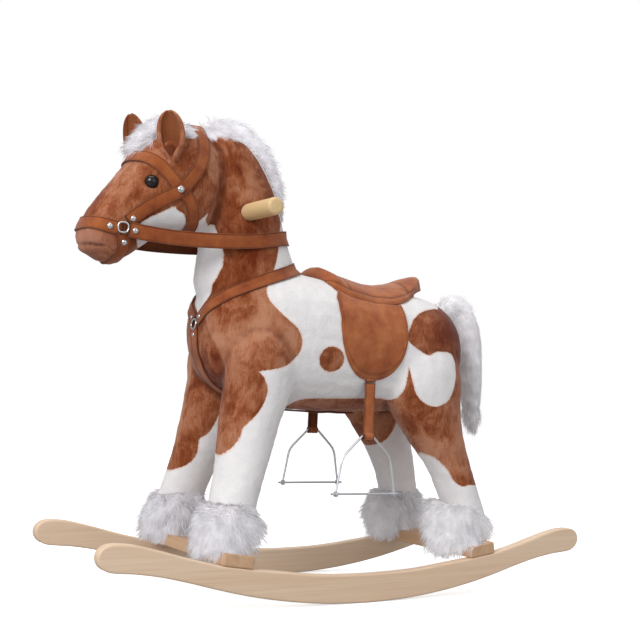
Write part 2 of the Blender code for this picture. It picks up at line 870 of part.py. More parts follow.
for side, hand in SIDES:
    x = side * STIRRUP_X
    mid = STIRRUP_Y[side]
    outline = []
    for k in range(9):
        a = math.pi * k / 8
        outline.append((mid + HALF_W * math.cos(a), PIVOT_Z + HALF_W * math.sin(a)))
    outline += [(mid - HALF_W, LOOP_Z), (mid + HALF_W, LOOP_Z)]
    leather = plate("stirrup_leather_" + hand, outline, x - 0.00125, x + 0.00125, SUEDE)
    low = (x, mid - HALF_W, LOOP_Z)
    high = (x, mid + HALF_W, LOOP_Z)
    join(leather, rod("loop_" + hand, LOOP_R, low, high, None, True, 14))
    low = (x, mid - 0.02, LOOP_Z)
    high = (x, mid + 0.02, LOOP_Z)
    cut(leather, rod("loop_hole_" + hand, WIRE_R + 0.0004, low, high, None, True, 12))
    half = bow_path()
    path = [(mid - y, z) for y, z in reversed(half[1:])]
    path += [(mid + y, z) for y, z in half]
    bow = add("stirrup_bow_" + hand, wire(path, x, WIRE_R), STEEL)
    for end, word in ENDS:
        foot = mid + end * BOW_HALF
        tag = word + "_" + hand
        low = (x, foot - 0.0019, BAR_Z)
        high = (x, foot + 0.0019, BAR_Z)
        join(bow, rod("eye_ring_" + tag, 0.0044, low, high, None, True, 14))
    low = (x, mid - 0.08, BAR_Z)
    high = (x, mid + 0.08, BAR_Z)
    cut(bow, rod("bar_hole_" + hand, WIRE_R + GAP, low, high, None, True, 12))
    low = (x, mid - BAR_HALF, BAR_Z)
    high = (x, mid + BAR_HALF, BAR_Z)
    rod("stirrup_bar_" + hand, WIRE_R, low, high, STEEL, False, 12)

# ---------------------------------------------------------------- bridle, rein and breast collar
bpy.context.view_layer.update()
graph = bpy.context.evaluated_depsgraph_get()
points = []
faces = []
for obj in (torso, neck, head, *legs.values()):
    shape = obj.evaluated_get(graph).to_mesh()
    base = len(points)
    points += [obj.matrix_world @ v.co for v in shape.vertices]
    faces += [[base + k for k in polygon.vertices] for polygon in shape.polygons]
skin = BVHTree.FromPolygons(points, faces)


def along_curve(marks, spacing):
    """Evenly spaced points of a smooth curve through the marks."""
    table = [(0.0, *marks[0])]
    for a, b in zip(marks, marks[1:]):
        table.append((table[-1][0] + (Vector(b) - Vector(a)).length, *b))
    count = max(int(round(table[-1][0] / spacing)), 2)
    return [Vector(spline(table, table[-1][0] * i / count)) for i in range(count + 1)]


def mirrored(marks):
    """A left half that ends on the centre line, carried on to the right side."""
    return marks + [(-x, y, z) for x, y, z in reversed(marks[:-1])]


def strap(name, marks, width=STRAP_W, spacing=0.011, upright=False, reach=0.012):
    """A flat strap laid on the plush along the marks. Where the plush is out of reach it hangs free."""
    path = along_curve(marks, spacing)
    normals = []
    for p in path:
        spot, normal, _, away = skin.find_nearest(p)
        out = p - spot
        normals.append(out.normalized() if away > 0.004 and out.dot(normal) > 0 else normal)
    rings = []
    for i, p in enumerate(path):
        way = (path[min(i + 1, len(path) - 1)] - path[max(i - 1, 0)]).normalized()
        normal = normals[max(i - 1, 0)] + normals[i] * 2 + normals[min(i + 1, len(path) - 1)]
        if upright:
            normal = way.cross(Vector((0, 0, 1)))
            if normal.dot(p - Vector((0, -0.17, p.z))) < 0:
                normal = -normal
        normal = (normal - way * normal.dot(way)).normalized()
        side = way.cross(normal)
        under = []
        for share in (-0.5, 0.0, 0.5):
            start = p + side * (share * width) + normal * 0.03
            spot, _, _, drop = skin.ray_cast(start, -normal, 0.03 + reach)
            level = p + side * (share * width)
            if spot is not None:
                level = start - normal * (drop - LIFT)
                if upright and (level - start).dot(normal) < (p - start + side * (share * width)).dot(normal):
                    level = p + side * (share * width)
            under.append(level)
        over = [q + normal * STRAP_T for q in reversed(under)]
        rings.append(under + over)
    return add(name, rings_mesh(rings), SUEDE)


def ring_at(name, centre, normal, major, minor):
    bm = bmesh.new()
    matrix = Matrix.Translation(centre) @ Vector(normal).to_track_quat("Z", "Y").to_matrix().to_4x4()
    rows = []
    for i in range(18):
        a = 2 * math.pi * i / 18
        row = []
        for k in range(8):
            b = 2 * math.pi * k / 8
            r = major + minor * math.cos(b)
            row.append(matrix @ Vector((r * math.cos(a), r * math.sin(a), minor * math.sin(b))))
        rows.append(row)
    bm.free()
    return add(name, rings_mesh(rows, closed=True), STEEL)


BIT = (0.0458, -0.3790, 0.5280)
for side, hand in SIDES:
    ring_at("bit_ring_" + hand, (side * BIT[0], BIT[1], BIT[2]), (side * 0.97, -0.24, 0), 0.0072, 0.0014)
strap(
    "noseband",
    mirrored(
        [
            (0.0410, -0.3900, 0.5275),
            (0.0390, -0.3990, 0.5290),
            (0.0340, -0.4100, 0.5310),
            (0.0220, -0.4200, 0.5325),
            (0.0, -0.4250, 0.5335),
        ]
    ),
    spacing=0.008,
)
strap(
    "headstall",
    mirrored(
        [
            (0.0440, -0.3650, 0.5440),
            (0.0470, -0.3560, 0.5520),
            (0.0520, -0.3390, 0.5650),
            (0.0570, -0.3200, 0.5770),
            (0.0590, -0.3000, 0.5900),
            (0.0600, -0.2830, 0.6120),
            (0.0580, -0.2720, 0.6290),
            (0.0540, -0.2650, 0.6450),
            (0.0450, -0.2620, 0.6670),
            (0.0300, -0.2630, 0.6860),
            (0.0, -0.2640, 0.6990),
        ]
    ),
    spacing=0.008,
)
strap(
    "browband",
    mirrored(
        [
            (0.0590, -0.3095, 0.5985),
            (0.0570, -0.3200, 0.6110),
            (0.0500, -0.3330, 0.6240),
            (0.0350, -0.3460, 0.6330),
            (0.0180, -0.3540, 0.6360),
            (0.0, -0.3570, 0.6370),
        ]
    ),
    spacing=0.009,
)
strap(
    "throatlatch",
    mirrored(
        [
            (0.0560, -0.2895, 0.5805),
            (0.0535, -0.2842, 0.5745),
            (0.0480, -0.2790, 0.5640),
            (0.0360, -0.2740, 0.5500),
            (0.0180, -0.2760, 0.5400),
            (0.0, -0.2790, 0.5370),
        ]
    ),
    spacing=0.009,
)
strap(
    "chin_strap",
    mirrored(
        [
            (0.0400, -0.3760, 0.5170),
            (0.0370, -0.3730, 0.5060),
            (0.0300, -0.3740, 0.4950),
            (0.0180, -0.3780, 0.4880),
            (0.0, -0.3800, 0.4850),
        ]
    ),
    spacing=0.009,
)
strap(
    "rein",
    mirrored(
        [
            (0.0455, -0.3660, 0.5255),
            (0.0470, -0.3560, 0.5240),
            (0.0490, -0.3300, 0.5220),
            (0.0510, -0.3000, 0.5210),
            (0.0530, -0.2600, 0.5220),
            (0.0550, -0.2250, 0.5240),
            (0.0560, -0.1920, 0.5270),
            (0.0560, -0.1700, 0.5300),
            (0.0530, -0.1480, 0.5345),
            (0.0450, -0.1270, 0.5390),
            (0.0300, -0.1090, 0.5430),
            (0.0, -0.0990, 0.5460),
        ]
    ),
    width=0.0225,
    spacing=0.010,
    upright=True,
    reach=0.006,
)
CHEST = (0.0, -0.2400, 0.4020)
ring_at("chest_ring", CHEST, (0, -1, 0.1), 0.0075, 0.0014)
strap(
    "breast_collar",
    mirrored(
        [
            (0.0090, -0.2380, 0.4105),
            (0.0320, -0.2330, 0.4270),
            (0.0480, -0.2220, 0.4390),
            (0.0580, -0.2060, 0.4500),
            (0.0640, -0.1860, 0.4600),
            (0.0660, -0.1660, 0.4690),
            (0.0650, -0.1440, 0.4780),
            (0.0580, -0.1210, 0.4860),
            (0.0440, -0.1000, 0.4930),
            (0.0230, -0.0870, 0.4960),
            (0.0, -0.0830, 0.4980),
        ]
    ),
)
strap(
    "belly_strap",
    [
        (0.0, -0.2370, 0.3910),
        (0.0, -0.2350, 0.3650),
        (0.0, -0.2250, 0.3390),
        (0.0, -0.2080, 0.3190),
        (0.0, -0.1800, 0.3000),
        (0.0, -0.1400, 0.2870),
        (0.0, -0.1000, 0.2810),
        (0.0, -0.0500, 0.2780),
        (0.0, 0.0000, 0.2780),
        (0.0, 0.0450, 0.2780),
    ],
    spacing=0.018,
)


def rivet(name, near, top):
    """A domed rivet standing top above the plush."""
    spot, normal, _, _ = skin.find_nearest(Vector(near))
    turn = normal.to_track_quat("Z", "Y").to_matrix().to_4x4()
    matrix = Matrix.Translation(spot + normal * top) @ turn
    rings = []
    for r, z in ((0.0052, 0.0), (0.0052, 0.0007), (0.0041, 0.0022), (0.0020, 0.0031)):
        ring = []
        for k in range(14):
            a = 2 * math.pi * k / 14
            ring.append(matrix @ Vector((r * math.cos(a), r * math.sin(a), z)))
        rings.append(ring)
    add(name, rings_mesh(rings), STEEL)


for side, hand in SIDES:
    rivet("cheek_rivet_" + hand, (side * 0.0600, -0.3000, 0.5905), LIFT + STRAP_T + 0.0006)

# ---------------------------------------------------------------- joint axes of the moving pieces
TAIL_ROOT = (0, 0.216, 0.447)


def hang(name, pivot, pieces, parent=None):
    """An empty on a joint's axis that carries the pieces turning about it."""
    empty = bpy.data.objects.new(name, None)
    solids.objects.link(empty)
    empty.empty_display_size = 0.03
    empty.location = Vector(pivot) - (parent.location if parent else Vector())
    empty.parent = parent
    for obj in pieces:
        obj.parent = empty
        obj.matrix_parent_inverse = Matrix.Translation(pivot).inverted()
    return empty


for side, hand in SIDES:
    x = side * STIRRUP_X
    stirrup = [bpy.data.objects["stirrup_bow_" + hand], bpy.data.objects["stirrup_bar_" + hand]]
    leather = bpy.data.objects["stirrup_leather_" + hand]
    swing = hang("stirrup_strap_axis_" + hand, (x, STIRRUP_Y[side], PIVOT_Z), [leather])
    hang("stirrup_axis_" + hand, (x, STIRRUP_Y[side], LOOP_Z), stirrup, swing)
hang("tail_axis", TAIL_ROOT, [tail])
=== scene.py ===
import json
import math

import bmesh
import bpy
import numpy as np
from mathutils import Matrix, Vector
from mathutils.bvhtree import BVHTree
from mathutils.kdtree import KDTree

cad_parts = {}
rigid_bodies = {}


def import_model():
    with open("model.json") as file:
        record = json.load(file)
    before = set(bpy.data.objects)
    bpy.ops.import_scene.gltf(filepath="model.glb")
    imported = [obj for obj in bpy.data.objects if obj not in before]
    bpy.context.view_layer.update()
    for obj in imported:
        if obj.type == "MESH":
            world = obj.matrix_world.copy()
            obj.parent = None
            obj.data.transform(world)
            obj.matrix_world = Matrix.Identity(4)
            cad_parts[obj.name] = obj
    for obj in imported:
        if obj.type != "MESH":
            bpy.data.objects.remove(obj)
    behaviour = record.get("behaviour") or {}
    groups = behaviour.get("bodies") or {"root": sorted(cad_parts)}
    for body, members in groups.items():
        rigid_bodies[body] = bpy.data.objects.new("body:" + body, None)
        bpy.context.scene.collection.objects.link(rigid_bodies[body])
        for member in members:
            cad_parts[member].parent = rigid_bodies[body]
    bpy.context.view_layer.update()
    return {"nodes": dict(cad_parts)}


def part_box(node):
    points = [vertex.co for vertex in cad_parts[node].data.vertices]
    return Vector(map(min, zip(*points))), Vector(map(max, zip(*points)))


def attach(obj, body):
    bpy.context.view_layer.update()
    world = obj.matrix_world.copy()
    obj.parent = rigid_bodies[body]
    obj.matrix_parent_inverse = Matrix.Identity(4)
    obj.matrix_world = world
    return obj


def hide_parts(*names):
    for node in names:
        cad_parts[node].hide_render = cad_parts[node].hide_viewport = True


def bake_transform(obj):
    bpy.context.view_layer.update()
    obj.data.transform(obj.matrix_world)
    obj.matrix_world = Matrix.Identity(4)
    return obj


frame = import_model()
NODES = frame["nodes"]
SIDES = ((1, "left"), (-1, "right"))
collection = bpy.context.scene.collection


def linked(name, data):
    """A new object of the scene that holds data."""
    obj = bpy.data.objects.new(name, data)
    collection.objects.link(obj)
    return obj


# ---------------- camera
def look(place, yaw, pitch, roll, lens):
    """The camera stands at place and looks along yaw, pitch and roll, in degrees."""
    yaw, pitch, roll = (math.radians(a) for a in (yaw, pitch, roll))
    ahead = Vector((-math.cos(yaw) * math.cos(pitch), math.sin(yaw) * math.cos(pitch), -math.sin(pitch)))
    right = ahead.cross(Vector((0, 0, 1))).normalized()
    up = right.cross(ahead)
    right, up = (
        right * math.cos(roll) + up * math.sin(roll),
        up * math.cos(roll) - right * math.sin(roll),
    )
    camera = linked("camera", bpy.data.cameras.new("camera"))
    camera.matrix_world = Matrix.Translation(place) @ Matrix((right, up, -ahead)).transposed().to_4x4()
    camera.data.lens = lens
    bpy.context.scene.camera = camera


look((1.5224, -0.9531, 0.3119), yaw=31.52, pitch=-3.59, roll=2.59, lens=62.7)


# ---------------- meshes
def obj_from(name, points, faces, materials=(), indices=None):
    mesh = bpy.data.meshes.new(name)
    mesh.from_pydata([tuple(p) for p in points], [], [tuple(f) for f in faces])
    for m in materials:
        mesh.materials.append(m)
    if indices is not None:
        mesh.polygons.foreach_set("material_index", indices)
    mesh.shade_smooth()
    return linked(name, mesh)


def done(obj, body="horse", replaces=()):
    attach(obj, body)
    if replaces:
        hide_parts(*replaces)


def unit(v):
    return v / np.linalg.norm(v, axis=-1, keepdims=True).clip(1e-9)


def read(items, what, width, kind=float):
    """An array of rows of width numbers, such as a mesh's points."""
    out = np.empty(len(items) * width, kind)
    items.foreach_get(what, out)
    return out.reshape(-1, width)


def coords(obj):
    return read(obj.data.vertices, "co", 3)


def normals(obj):
    return read(obj.data.vertex_normals, "vector", 3)


def set_coords(obj, co):
    obj.data.vertices.foreach_set("co", co.ravel())
    obj.data.update()


def painted(obj, name, values):
    """A number for each vertex, which the material reads by name."""
    layer = obj.data.attributes.new(name, "FLOAT", "POINT")
    layer.data.foreach_set("value", np.asarray(values, np.float32))


def outward(obj, join=0.0):
    """Turns all faces outward, once points nearer than join are one."""
    bm = bmesh.new()
    bm.from_mesh(obj.data)
    if join:
        bmesh.ops.remove_doubles(bm, verts=bm.verts[:], dist=join)
    bmesh.ops.recalc_face_normals(bm, faces=bm.faces[:])
    bm.to_mesh(obj.data)
    bm.free()
    return obj


def tree_of(obj):
    return BVHTree.FromPolygons(
        [tuple(v.co) for v in obj.data.vertices], [tuple(p.vertices) for p in obj.data.polygons])


def kd_of(points):
    tree = KDTree(len(points))
    for i, p in enumerate(points):
        tree.insert(p, i)
    tree.balance()
    return tree


def merged(name, nodes):
    """One object holding a copy of the meshes of these CAD nodes."""
    bm = bmesh.new()
    for n in nodes:
        bm.from_mesh(NODES[n].data)
    bmesh.ops.remove_doubles(bm, verts=bm.verts[:], dist=1e-6)
    mesh = bpy.data.meshes.new(name)
    bm.to_mesh(mesh)
    bm.free()
    return linked(name, mesh)


def remeshed(obj, voxel):
    mod = obj.modifiers.new("voxels", "REMESH")
    mod.mode = "VOXEL"
    mod.voxel_size = voxel
    graph = bpy.context.evaluated_depsgraph_get()
    mesh = bpy.data.meshes.new_from_object(obj.evaluated_get(graph))
    old = obj.data
    obj.modifiers.clear()
    obj.data = mesh
    bpy.data.meshes.remove(old)
    mesh.shade_smooth()
    return obj


def spread(values, edges):
    """The mean of values over the neighbours of each vertex."""
    total = np.zeros_like(values)
    np.add.at(total, edges[:, 0], values[edges[:, 1]])
    np.add.at(total, edges[:, 1], values[edges[:, 0]])
    return total / np.bincount(edges.ravel(), minlength=len(values))[:, None].clip(1)


def smoothed(obj, rounds, share=0.5, keep=None):
    """Laplacian smoothing, each second round swelling back, so that the form keeps its size."""
    co, edges = coords(obj), read(obj.data.edges, "vertices", 2, np.int64)
    for k in range(rounds):
        move = (spread(co, edges) - co) * (share if k % 2 == 0 else -share * 1.02)
        co += move if keep is None else move * keep[:, None]
    set_coords(obj, co)
    return obj


def tube_faces(rows, size):
    """Faces of a tube of rows rings with size points each, and its two end caps."""
    faces = []
    for a in range(0, (rows - 1) * size, size):
        for k in range(size):
            q = (k + 1) % size
            faces.append((a + k, a + q, a + size + q, a + size + k))
    last = (rows - 1) * size
    return faces + [tuple(range(size))[::-1], tuple(range(last, last + size))]


def lathe(profile, matrix, segments=28):
    """Turns (radius, height) rows about the matrix's Z axis."""
    turn = [2 * math.pi * k / segments for k in range(segments)]
    points = [matrix @ Vector((r * math.cos(a), r * math.sin(a), h)) for r, h in profile for a in turn]
    return points, tube_faces(len(profile), segments)


def facing(place, normal):
    return Matrix.Translation(place) @ Vector(normal).to_track_quat("Z", "Y").to_matrix().to_4x4()


# ---------------- lines
def spline(table, t):
    """Catmull-Rom through rows whose first column is the parameter."""
    if t <= table[0][0]:
        return table[0][1:]
    if t >= table[-1][0]:
        return table[-1][1:]
    i = max(k for k in range(len(table) - 1) if table[k][0] <= t)
    a, b = table[i], table[i + 1]
    before = table[i - 1] if i else a
    after = table[i + 2] if i + 2 < len(table) else b
    span = b[0] - a[0]
    u = (t - a[0]) / span
    out = []
    for k in range(1, len(a)):
        m0 = (b[k] - before[k]) / max(b[0] - before[0], 1e-9) * span
        m1 = (after[k] - a[k]) / max(after[0] - a[0], 1e-9) * span
        out.append(
            (2 * u**3 - 3 * u**2 + 1) * a[k] + (u**3 - 2 * u**2 + u) * m0
            + (-2 * u**3 + 3 * u**2) * b[k] + (u**3 - u**2) * m1
        )
    return tuple(out)


def along(marks, spacing):
    """Evenly spaced points of a smooth line through marks."""
    table = [(0.0, *marks[0])]
    for a, b in zip(marks, marks[1:]):
        table.append((table[-1][0] + (Vector(b) - Vector(a)).length, *b))
    count = max(int(round(table[-1][0] / spacing)), 2)
    return [Vector(spline(table, table[-1][0] * i / count)) for i in range(count + 1)]


def way_at(path, i):
    return (path[min(i + 1, len(path) - 1)] - path[max(i - 1, 0)]).normalized()


def metres(marks):
    """The same rows, given in millimetres."""
    return [tuple(c / 1000 for c in m) for m in marks]


def mirrored(marks):
    """Marks that end on the middle plane, and on to the other side."""
    return marks + [(-x, y, z) for x, y, z in reversed(marks[:-1])]


def value_noise(p, scale, seed):
    """Smooth 3-D noise in -1..1 for an array of points."""
    q = p * scale + seed * 17.3
    cell = np.floor(q).astype(np.int64)
    f = q - cell
    f = f * f * (3 - 2 * f)
    out = np.zeros(len(p))
    for corner in np.ndindex(2, 2, 2):
        c = cell + corner
        h = (c[:, 0] * 73856093) ^ (c[:, 1] * 19349663) ^ (c[:, 2] * 83492791) ^ (seed * 2654435)
        r = ((h * 1103515245 + 12345) & 0x7FFFFFFF) / 0x3FFFFFFF - 1
        out += r * np.where(corner, f, 1 - f).prod(axis=1)
    return out


# ---------------- materials
class Shader:
    """A node material made line by line."""

    def __init__(self, name, specular=0.5, **settings):
        self.material = bpy.data.materials.new(name)
        self.material.use_nodes = True
        self.tree = self.material.node_tree
        self.bsdf = self.tree.nodes["Principled BSDF"]
        for socket, v in settings.items():
            self.bsdf.inputs[socket.replace("_", " ")].default_value = v
        self.bsdf.inputs["Specular IOR Level"].default_value = specular
        self.place = self.node("TexCoord").outputs["Object"]

    def node(self, kind, inputs=None, **attributes):
        n = self.tree.nodes.new("ShaderNode" + kind)
        for k, v in attributes.items():
            setattr(n, k, v)
        for k, v in (inputs or {}).items():
            self.put(n.inputs[k], v)
        return n

    def put(self, socket, v):
        if isinstance(v, bpy.types.NodeSocket):
            self.tree.links.new(v, socket)
        else:
            socket.default_value = v

    def noise(self, scale, detail=3.0, rough=0.55, distortion=0.0):
        """Noise of that scale, or of a scale for each axis."""
        place = self.place
        if isinstance(scale, tuple):
            place = self.node("Mapping", {"Scale": scale, "Vector": place}).outputs["Vector"]
            scale = 1.0
        words = {"Vector": place, "Scale": scale, "Detail": detail, "Roughness": rough,
                 "Distortion": distortion}
        return self.node("TexNoise", words).outputs["Fac"]

    def range(self, v, low, high, to_low=0.0, to_high=1.0, smooth=False):
        words = {"Value": v, "From Min": low, "From Max": high, "To Min": to_low, "To Max": to_high}
        kind = "SMOOTHSTEP" if smooth else "LINEAR"
        return self.node("MapRange", words, interpolation_type=kind).outputs["Result"]

    def math(self, how, a, b=0.0):
        return self.node("Math", {0: a, 1: b}, operation=how).outputs[0]

    def add(self, a, b):
        return self.math("ADD", a, b)

    def times(self, a, b):
        return self.math("MULTIPLY", a, b)

    def about_zero(self, v, amount):
        """Noise v moved from around a half to around zero, times amount."""
        return self.times(self.math("SUBTRACT", v, 0.5), amount)

    def mix(self, share, a, b):
        words = {"Factor": share, 6: a, 7: b}
        return self.node("Mix", words, data_type="RGBA", blend_type="MIX").outputs[2]

    def attribute(self, name):
        return self.node("Attribute", attribute_name=name).outputs["Fac"]

    def bump(self, height, distance, strength=1.0):
        n = self.node("Bump", {"Height": height, "Distance": distance, "Strength": strength})
        last = self.bsdf.inputs["Normal"]
        if last.is_linked:
            self.tree.links.new(last.links[0].from_socket, n.inputs["Normal"])
        self.tree.links.new(n.outputs["Normal"], last)

    def colour(self, v):
        self.put(self.bsdf.inputs["Base Color"], v)

    def rough(self, v):
        self.put(self.bsdf.inputs["Roughness"], v)


def srgb(r, g, b):
    """Linear colour of 8-bit sRGB values."""
    return tuple(((c / 255 + 0.055) / 1.055) ** 2.4 if c > 10 else c / 3294 for c in (r, g, b)) + (1.0,)


BROWN_LIGHT, BROWN, BROWN_DARK = srgb(188, 132, 102), srgb(154, 88, 54), srgb(108, 42, 12)
WHITE, WHITE_DIM = srgb(243, 240, 240), srgb(233, 230, 231)


def brown_nap(s):
    """Crushed plush: pale where the nap lies flat, dark where it stands up. The tone attribute adds painted
    light and shade, and the last mix paints shade into hollows and dark lines along seams.
    """
    broad = s.noise(11.0, distortion=0.5)
    middle = s.noise((48, 34, 26), 3.0, 0.6, 1.0)
    streak = s.noise((330, 330, 95), 3.0, 0.7)
    fine = s.noise(620.0, 2.0, 0.6)
    grain = s.add(s.about_zero(streak, 0.22), s.about_zero(fine, 0.12))
    tone = s.add(s.add(s.times(broad, 0.55), s.times(middle, 0.45)), grain)
    tone = s.add(tone, s.attribute("tone"))
    coat = s.mix(s.range(tone, 0.34, 0.5), BROWN_DARK, BROWN)
    coat = s.mix(s.range(tone, 0.47, 0.64), coat, BROWN_LIGHT)
    # Painted shade: hollows of the skin take this dark brown, and the chest seam a dark line.
    return s.mix(s.attribute("seam_and_painted_shade"), coat, srgb(96, 42, 20))


def white_nap(s):
    tone = s.add(s.noise(40.0, 4.0, 0.6), s.times(s.noise(420.0, 2.0), 0.5))
    return s.mix(s.range(tone, 0.55, 0.95), WHITE_DIM, WHITE)


def pinto_coat(s):
    """Brown patches with a pale rim on white, a lighter muzzle and a dark mouth."""
    edge = s.add(s.attribute("patch"), s.about_zero(s.noise(300.0), 0.003))
    brown = s.range(edge, -0.0006, 0.0006, smooth=True)
    coat = s.mix(s.times(s.attribute("muzzle"), 0.55), brown_nap(s), srgb(178, 124, 104))
    coat = s.mix(s.attribute("crease"), coat, srgb(58, 28, 18))
    rim = s.range(s.math("ABSOLUTE", s.add(edge, 0.0008)), 0.0002, 0.0014, 0.42, 0.0)
    return s.mix(rim, s.mix(brown, white_nap(s), coat), srgb(224, 172, 132))


def lining(s):
    tan = s.mix(s.noise(60.0, 4.0), srgb(140, 78, 44), srgb(190, 118, 74))
    # Painted shade deep in the ear cup, and a darker line near its edges.
    return s.mix(s.attribute("seam_and_painted_shade"), tan, srgb(92, 42, 22))


def plush_material(name, colour):
    s = Shader(name, 0.15, Roughness=0.95, Sheen_Weight=0.2, Sheen_Roughness=0.45)
    s.colour(colour(s))
    fibre = s.noise((900, 900, 380), 2.0, 0.6)
    s.bump(s.add(s.times(fibre, 0.5), s.noise(230.0, 3.0, 0.6)), 0.0007, 0.9)
    return s.material


def fur_material(name, root, tip):
    """Fine white hair, which lets some light through from behind."""
    s = Shader(name, 0.15, Roughness=0.8, Sheen_Weight=0.2)
    tone = s.mix(s.range(s.noise(70.0), 0.35, 0.7), root, tip)
    s.colour(tone)
    through = s.node("BsdfTranslucent", {"Color": tone})
    both = s.node("MixShader", {0: 0.3, 1: s.bsdf.outputs[0], 2: through.outputs[0]})
    s.put(s.tree.nodes["Material Output"].inputs["Surface"], both.outputs[0])
    return s.material


def suede_material(name, *tones):
    base, pale, dark = (srgb(*c) for c in tones)
    s = Shader(name, 0.2, Roughness=0.9, Sheen_Weight=0.25, Sheen_Roughness=0.5)
    tone = s.add(s.noise(35.0, 5.0, 0.6), s.times(s.noise(600.0, 3.0, 0.7), 0.35))
    coat = s.mix(s.range(tone, 0.5, 0.62), dark, base)
    coat = s.mix(s.range(tone, 0.64, 0.85), coat, pale)
    s.colour(s.mix(s.attribute("edge"), coat, srgb(84, 40, 18)))
    s.rough(s.range(tone, 0.4, 0.9, 0.8, 0.97))
    s.bump(s.noise(1500.0, 2.0, 0.7), 0.00015, 0.8)
    s.bump(s.noise(160.0, 3.0, 0.6), 0.0003, 0.5)
    return s.material


def wood_material(name, axis, *tones):
    """Fine straight grain along an axis (0 X, 1 Y, 2 Z)."""
    pale, mid, dark = (srgb(*c) for c in tones)
    s = Shader(name, 0.4, Roughness=0.5, Coat_Weight=0.12, Coat_Roughness=0.35)

    def stretched(wide, long):
        return tuple(long if k == axis else wide for k in range(3))

    warp = s.noise(6.0, 2.0)
    rings = s.noise(stretched(46.0, 1.6), 4.0, 0.6, 0.7)
    fine = s.noise(stretched(260.0, 5.0), 3.0, 0.65)
    pores = s.noise(stretched(676.0, 13.0), 1.0, 0.5)
    wood = s.mix(s.range(rings, 0.36, 0.66), mid, pale)
    wood = s.mix(s.times(s.range(fine, 0.5, 0.78), 0.42), wood, dark)
    wood = s.mix(s.times(s.range(pores, 0.66, 0.8), 0.35), wood, dark)
    wood = s.mix(s.times(s.range(warp, 0.4, 0.75), 0.22), wood, mid)
    s.colour(wood)
    s.rough(s.range(fine, 0.3, 0.8, 0.42, 0.6))
    s.bump(fine, 0.00012, 0.6)
    s.bump(pores, 0.00006, 0.5)
    return s.material


def metal_material(name, colour, rough):
    s = Shader(name, Metallic=1.0)
    s.colour(s.mix(s.noise(220.0), colour, tuple(c * 0.82 for c in colour[:3]) + (1.0,)))
    s.rough(s.range(s.noise(900.0, 2.0), 0.3, 0.8, rough, rough + 0.12))
    s.bump(s.noise(1200.0, 2.0), 0.00003, 0.5)
    return s.material


def eye_material():
    s = Shader("eye_black", 0.3, Coat_Weight=0.5, Coat_Roughness=0.02)
    s.colour(s.mix(s.range(s.noise(120.0), 0.4, 0.8), srgb(10, 8, 10), srgb(34, 20, 16)))
    s.rough(s.range(s.noise(500.0), 0.3, 0.7, 0.04, 0.09))
    return s.material


def lid_material():
    s = Shader("eye_corner", Roughness=0.9)
    s.colour(s.mix(s.noise(500.0), srgb(38, 20, 16), srgb(70, 38, 28)))
    s.bump(s.noise(1400.0), 0.0002)
    return s.material


PINTO = plush_material("pinto_plush", pinto_coat)
BROWN_PLUSH = plush_material("brown_plush", brown_nap)
LINING = plush_material("ear_lining", lining)
WHITE_PLUSH = plush_material("white_plush", white_nap)
FUR = fur_material("white_long_pile", srgb(211, 209, 212), srgb(234, 233, 236))
# A paler copy of the fur for the tail and the rear cuffs: painted light, as less light reaches them.
REAR_FUR_PAINTED_LIGHTER = fur_material("white_long_pile_rear_painted_lighter", srgb(223, 222, 224), srgb(242, 241, 243))
SUEDE = suede_material("tan_suede", (168, 93, 52), (186, 114, 68), (150, 78, 42))
STRAP_SUEDE = suede_material("strap_suede", (148, 76, 36), (166, 94, 50), (128, 60, 27))
PINE = wood_material("pine", 1, (241, 214, 186), (232, 202, 172), (204, 168, 136))
PINE_CROSS = wood_material("pine_across", 0, (218, 180, 144), (200, 160, 124), (170, 126, 92))
INNER_PINE = wood_material("frame_wood", 2, (214, 180, 140), (198, 158, 116), (160, 118, 80))
BEECH = wood_material("beech", 0, (232, 202, 152), (222, 188, 136), (198, 158, 108))
STEEL = metal_material("bright_steel", srgb(240, 243, 248), 0.42)
CHROME = metal_material("rivet_chrome", srgb(226, 226, 228), 0.14)
EYE, LID = eye_material(), lid_material()


# ---------------- pinto patches
def rounded(outline, rounds=2):
    """Cuts the corners of a closed outline, which turns it into a smooth one."""
    p = np.array(outline, float)
    for _ in range(rounds):
        q = np.roll(p, -1, axis=0)
        p = np.stack([p * 0.78 + q * 0.22, p * 0.22 + q * 0.78], axis=1).reshape(-1, 2)
    return p


def inside_by(outline, y, z):
    """How far inside the outline, given in millimetres, each point is, in metres. Negative outside."""
    a = rounded(outline) / 1000
    b = np.roll(a, -1, axis=0)
    p = np.stack([y, z], axis=1)
    best = np.full(len(p), 9.0)
    odd = np.zeros(len(p), bool)
    for s, e in zip(a, b):
        d = e - s
        t = (((p - s) @ d) / max(d @ d, 1e-12)).clip(0, 1)
        best = np.minimum(best, np.linalg.norm(p - (s + t[:, None] * d), axis=1))
        if s[1] != e[1]:
            over = (s[1] > p[:, 1]) != (e[1] > p[:, 1])
            odd ^= over & (p[:, 0] < s[0] + (p[:, 1] - s[1]) / (e[1] - s[1]) * d[0])
    return np.where(odd, best, -best)


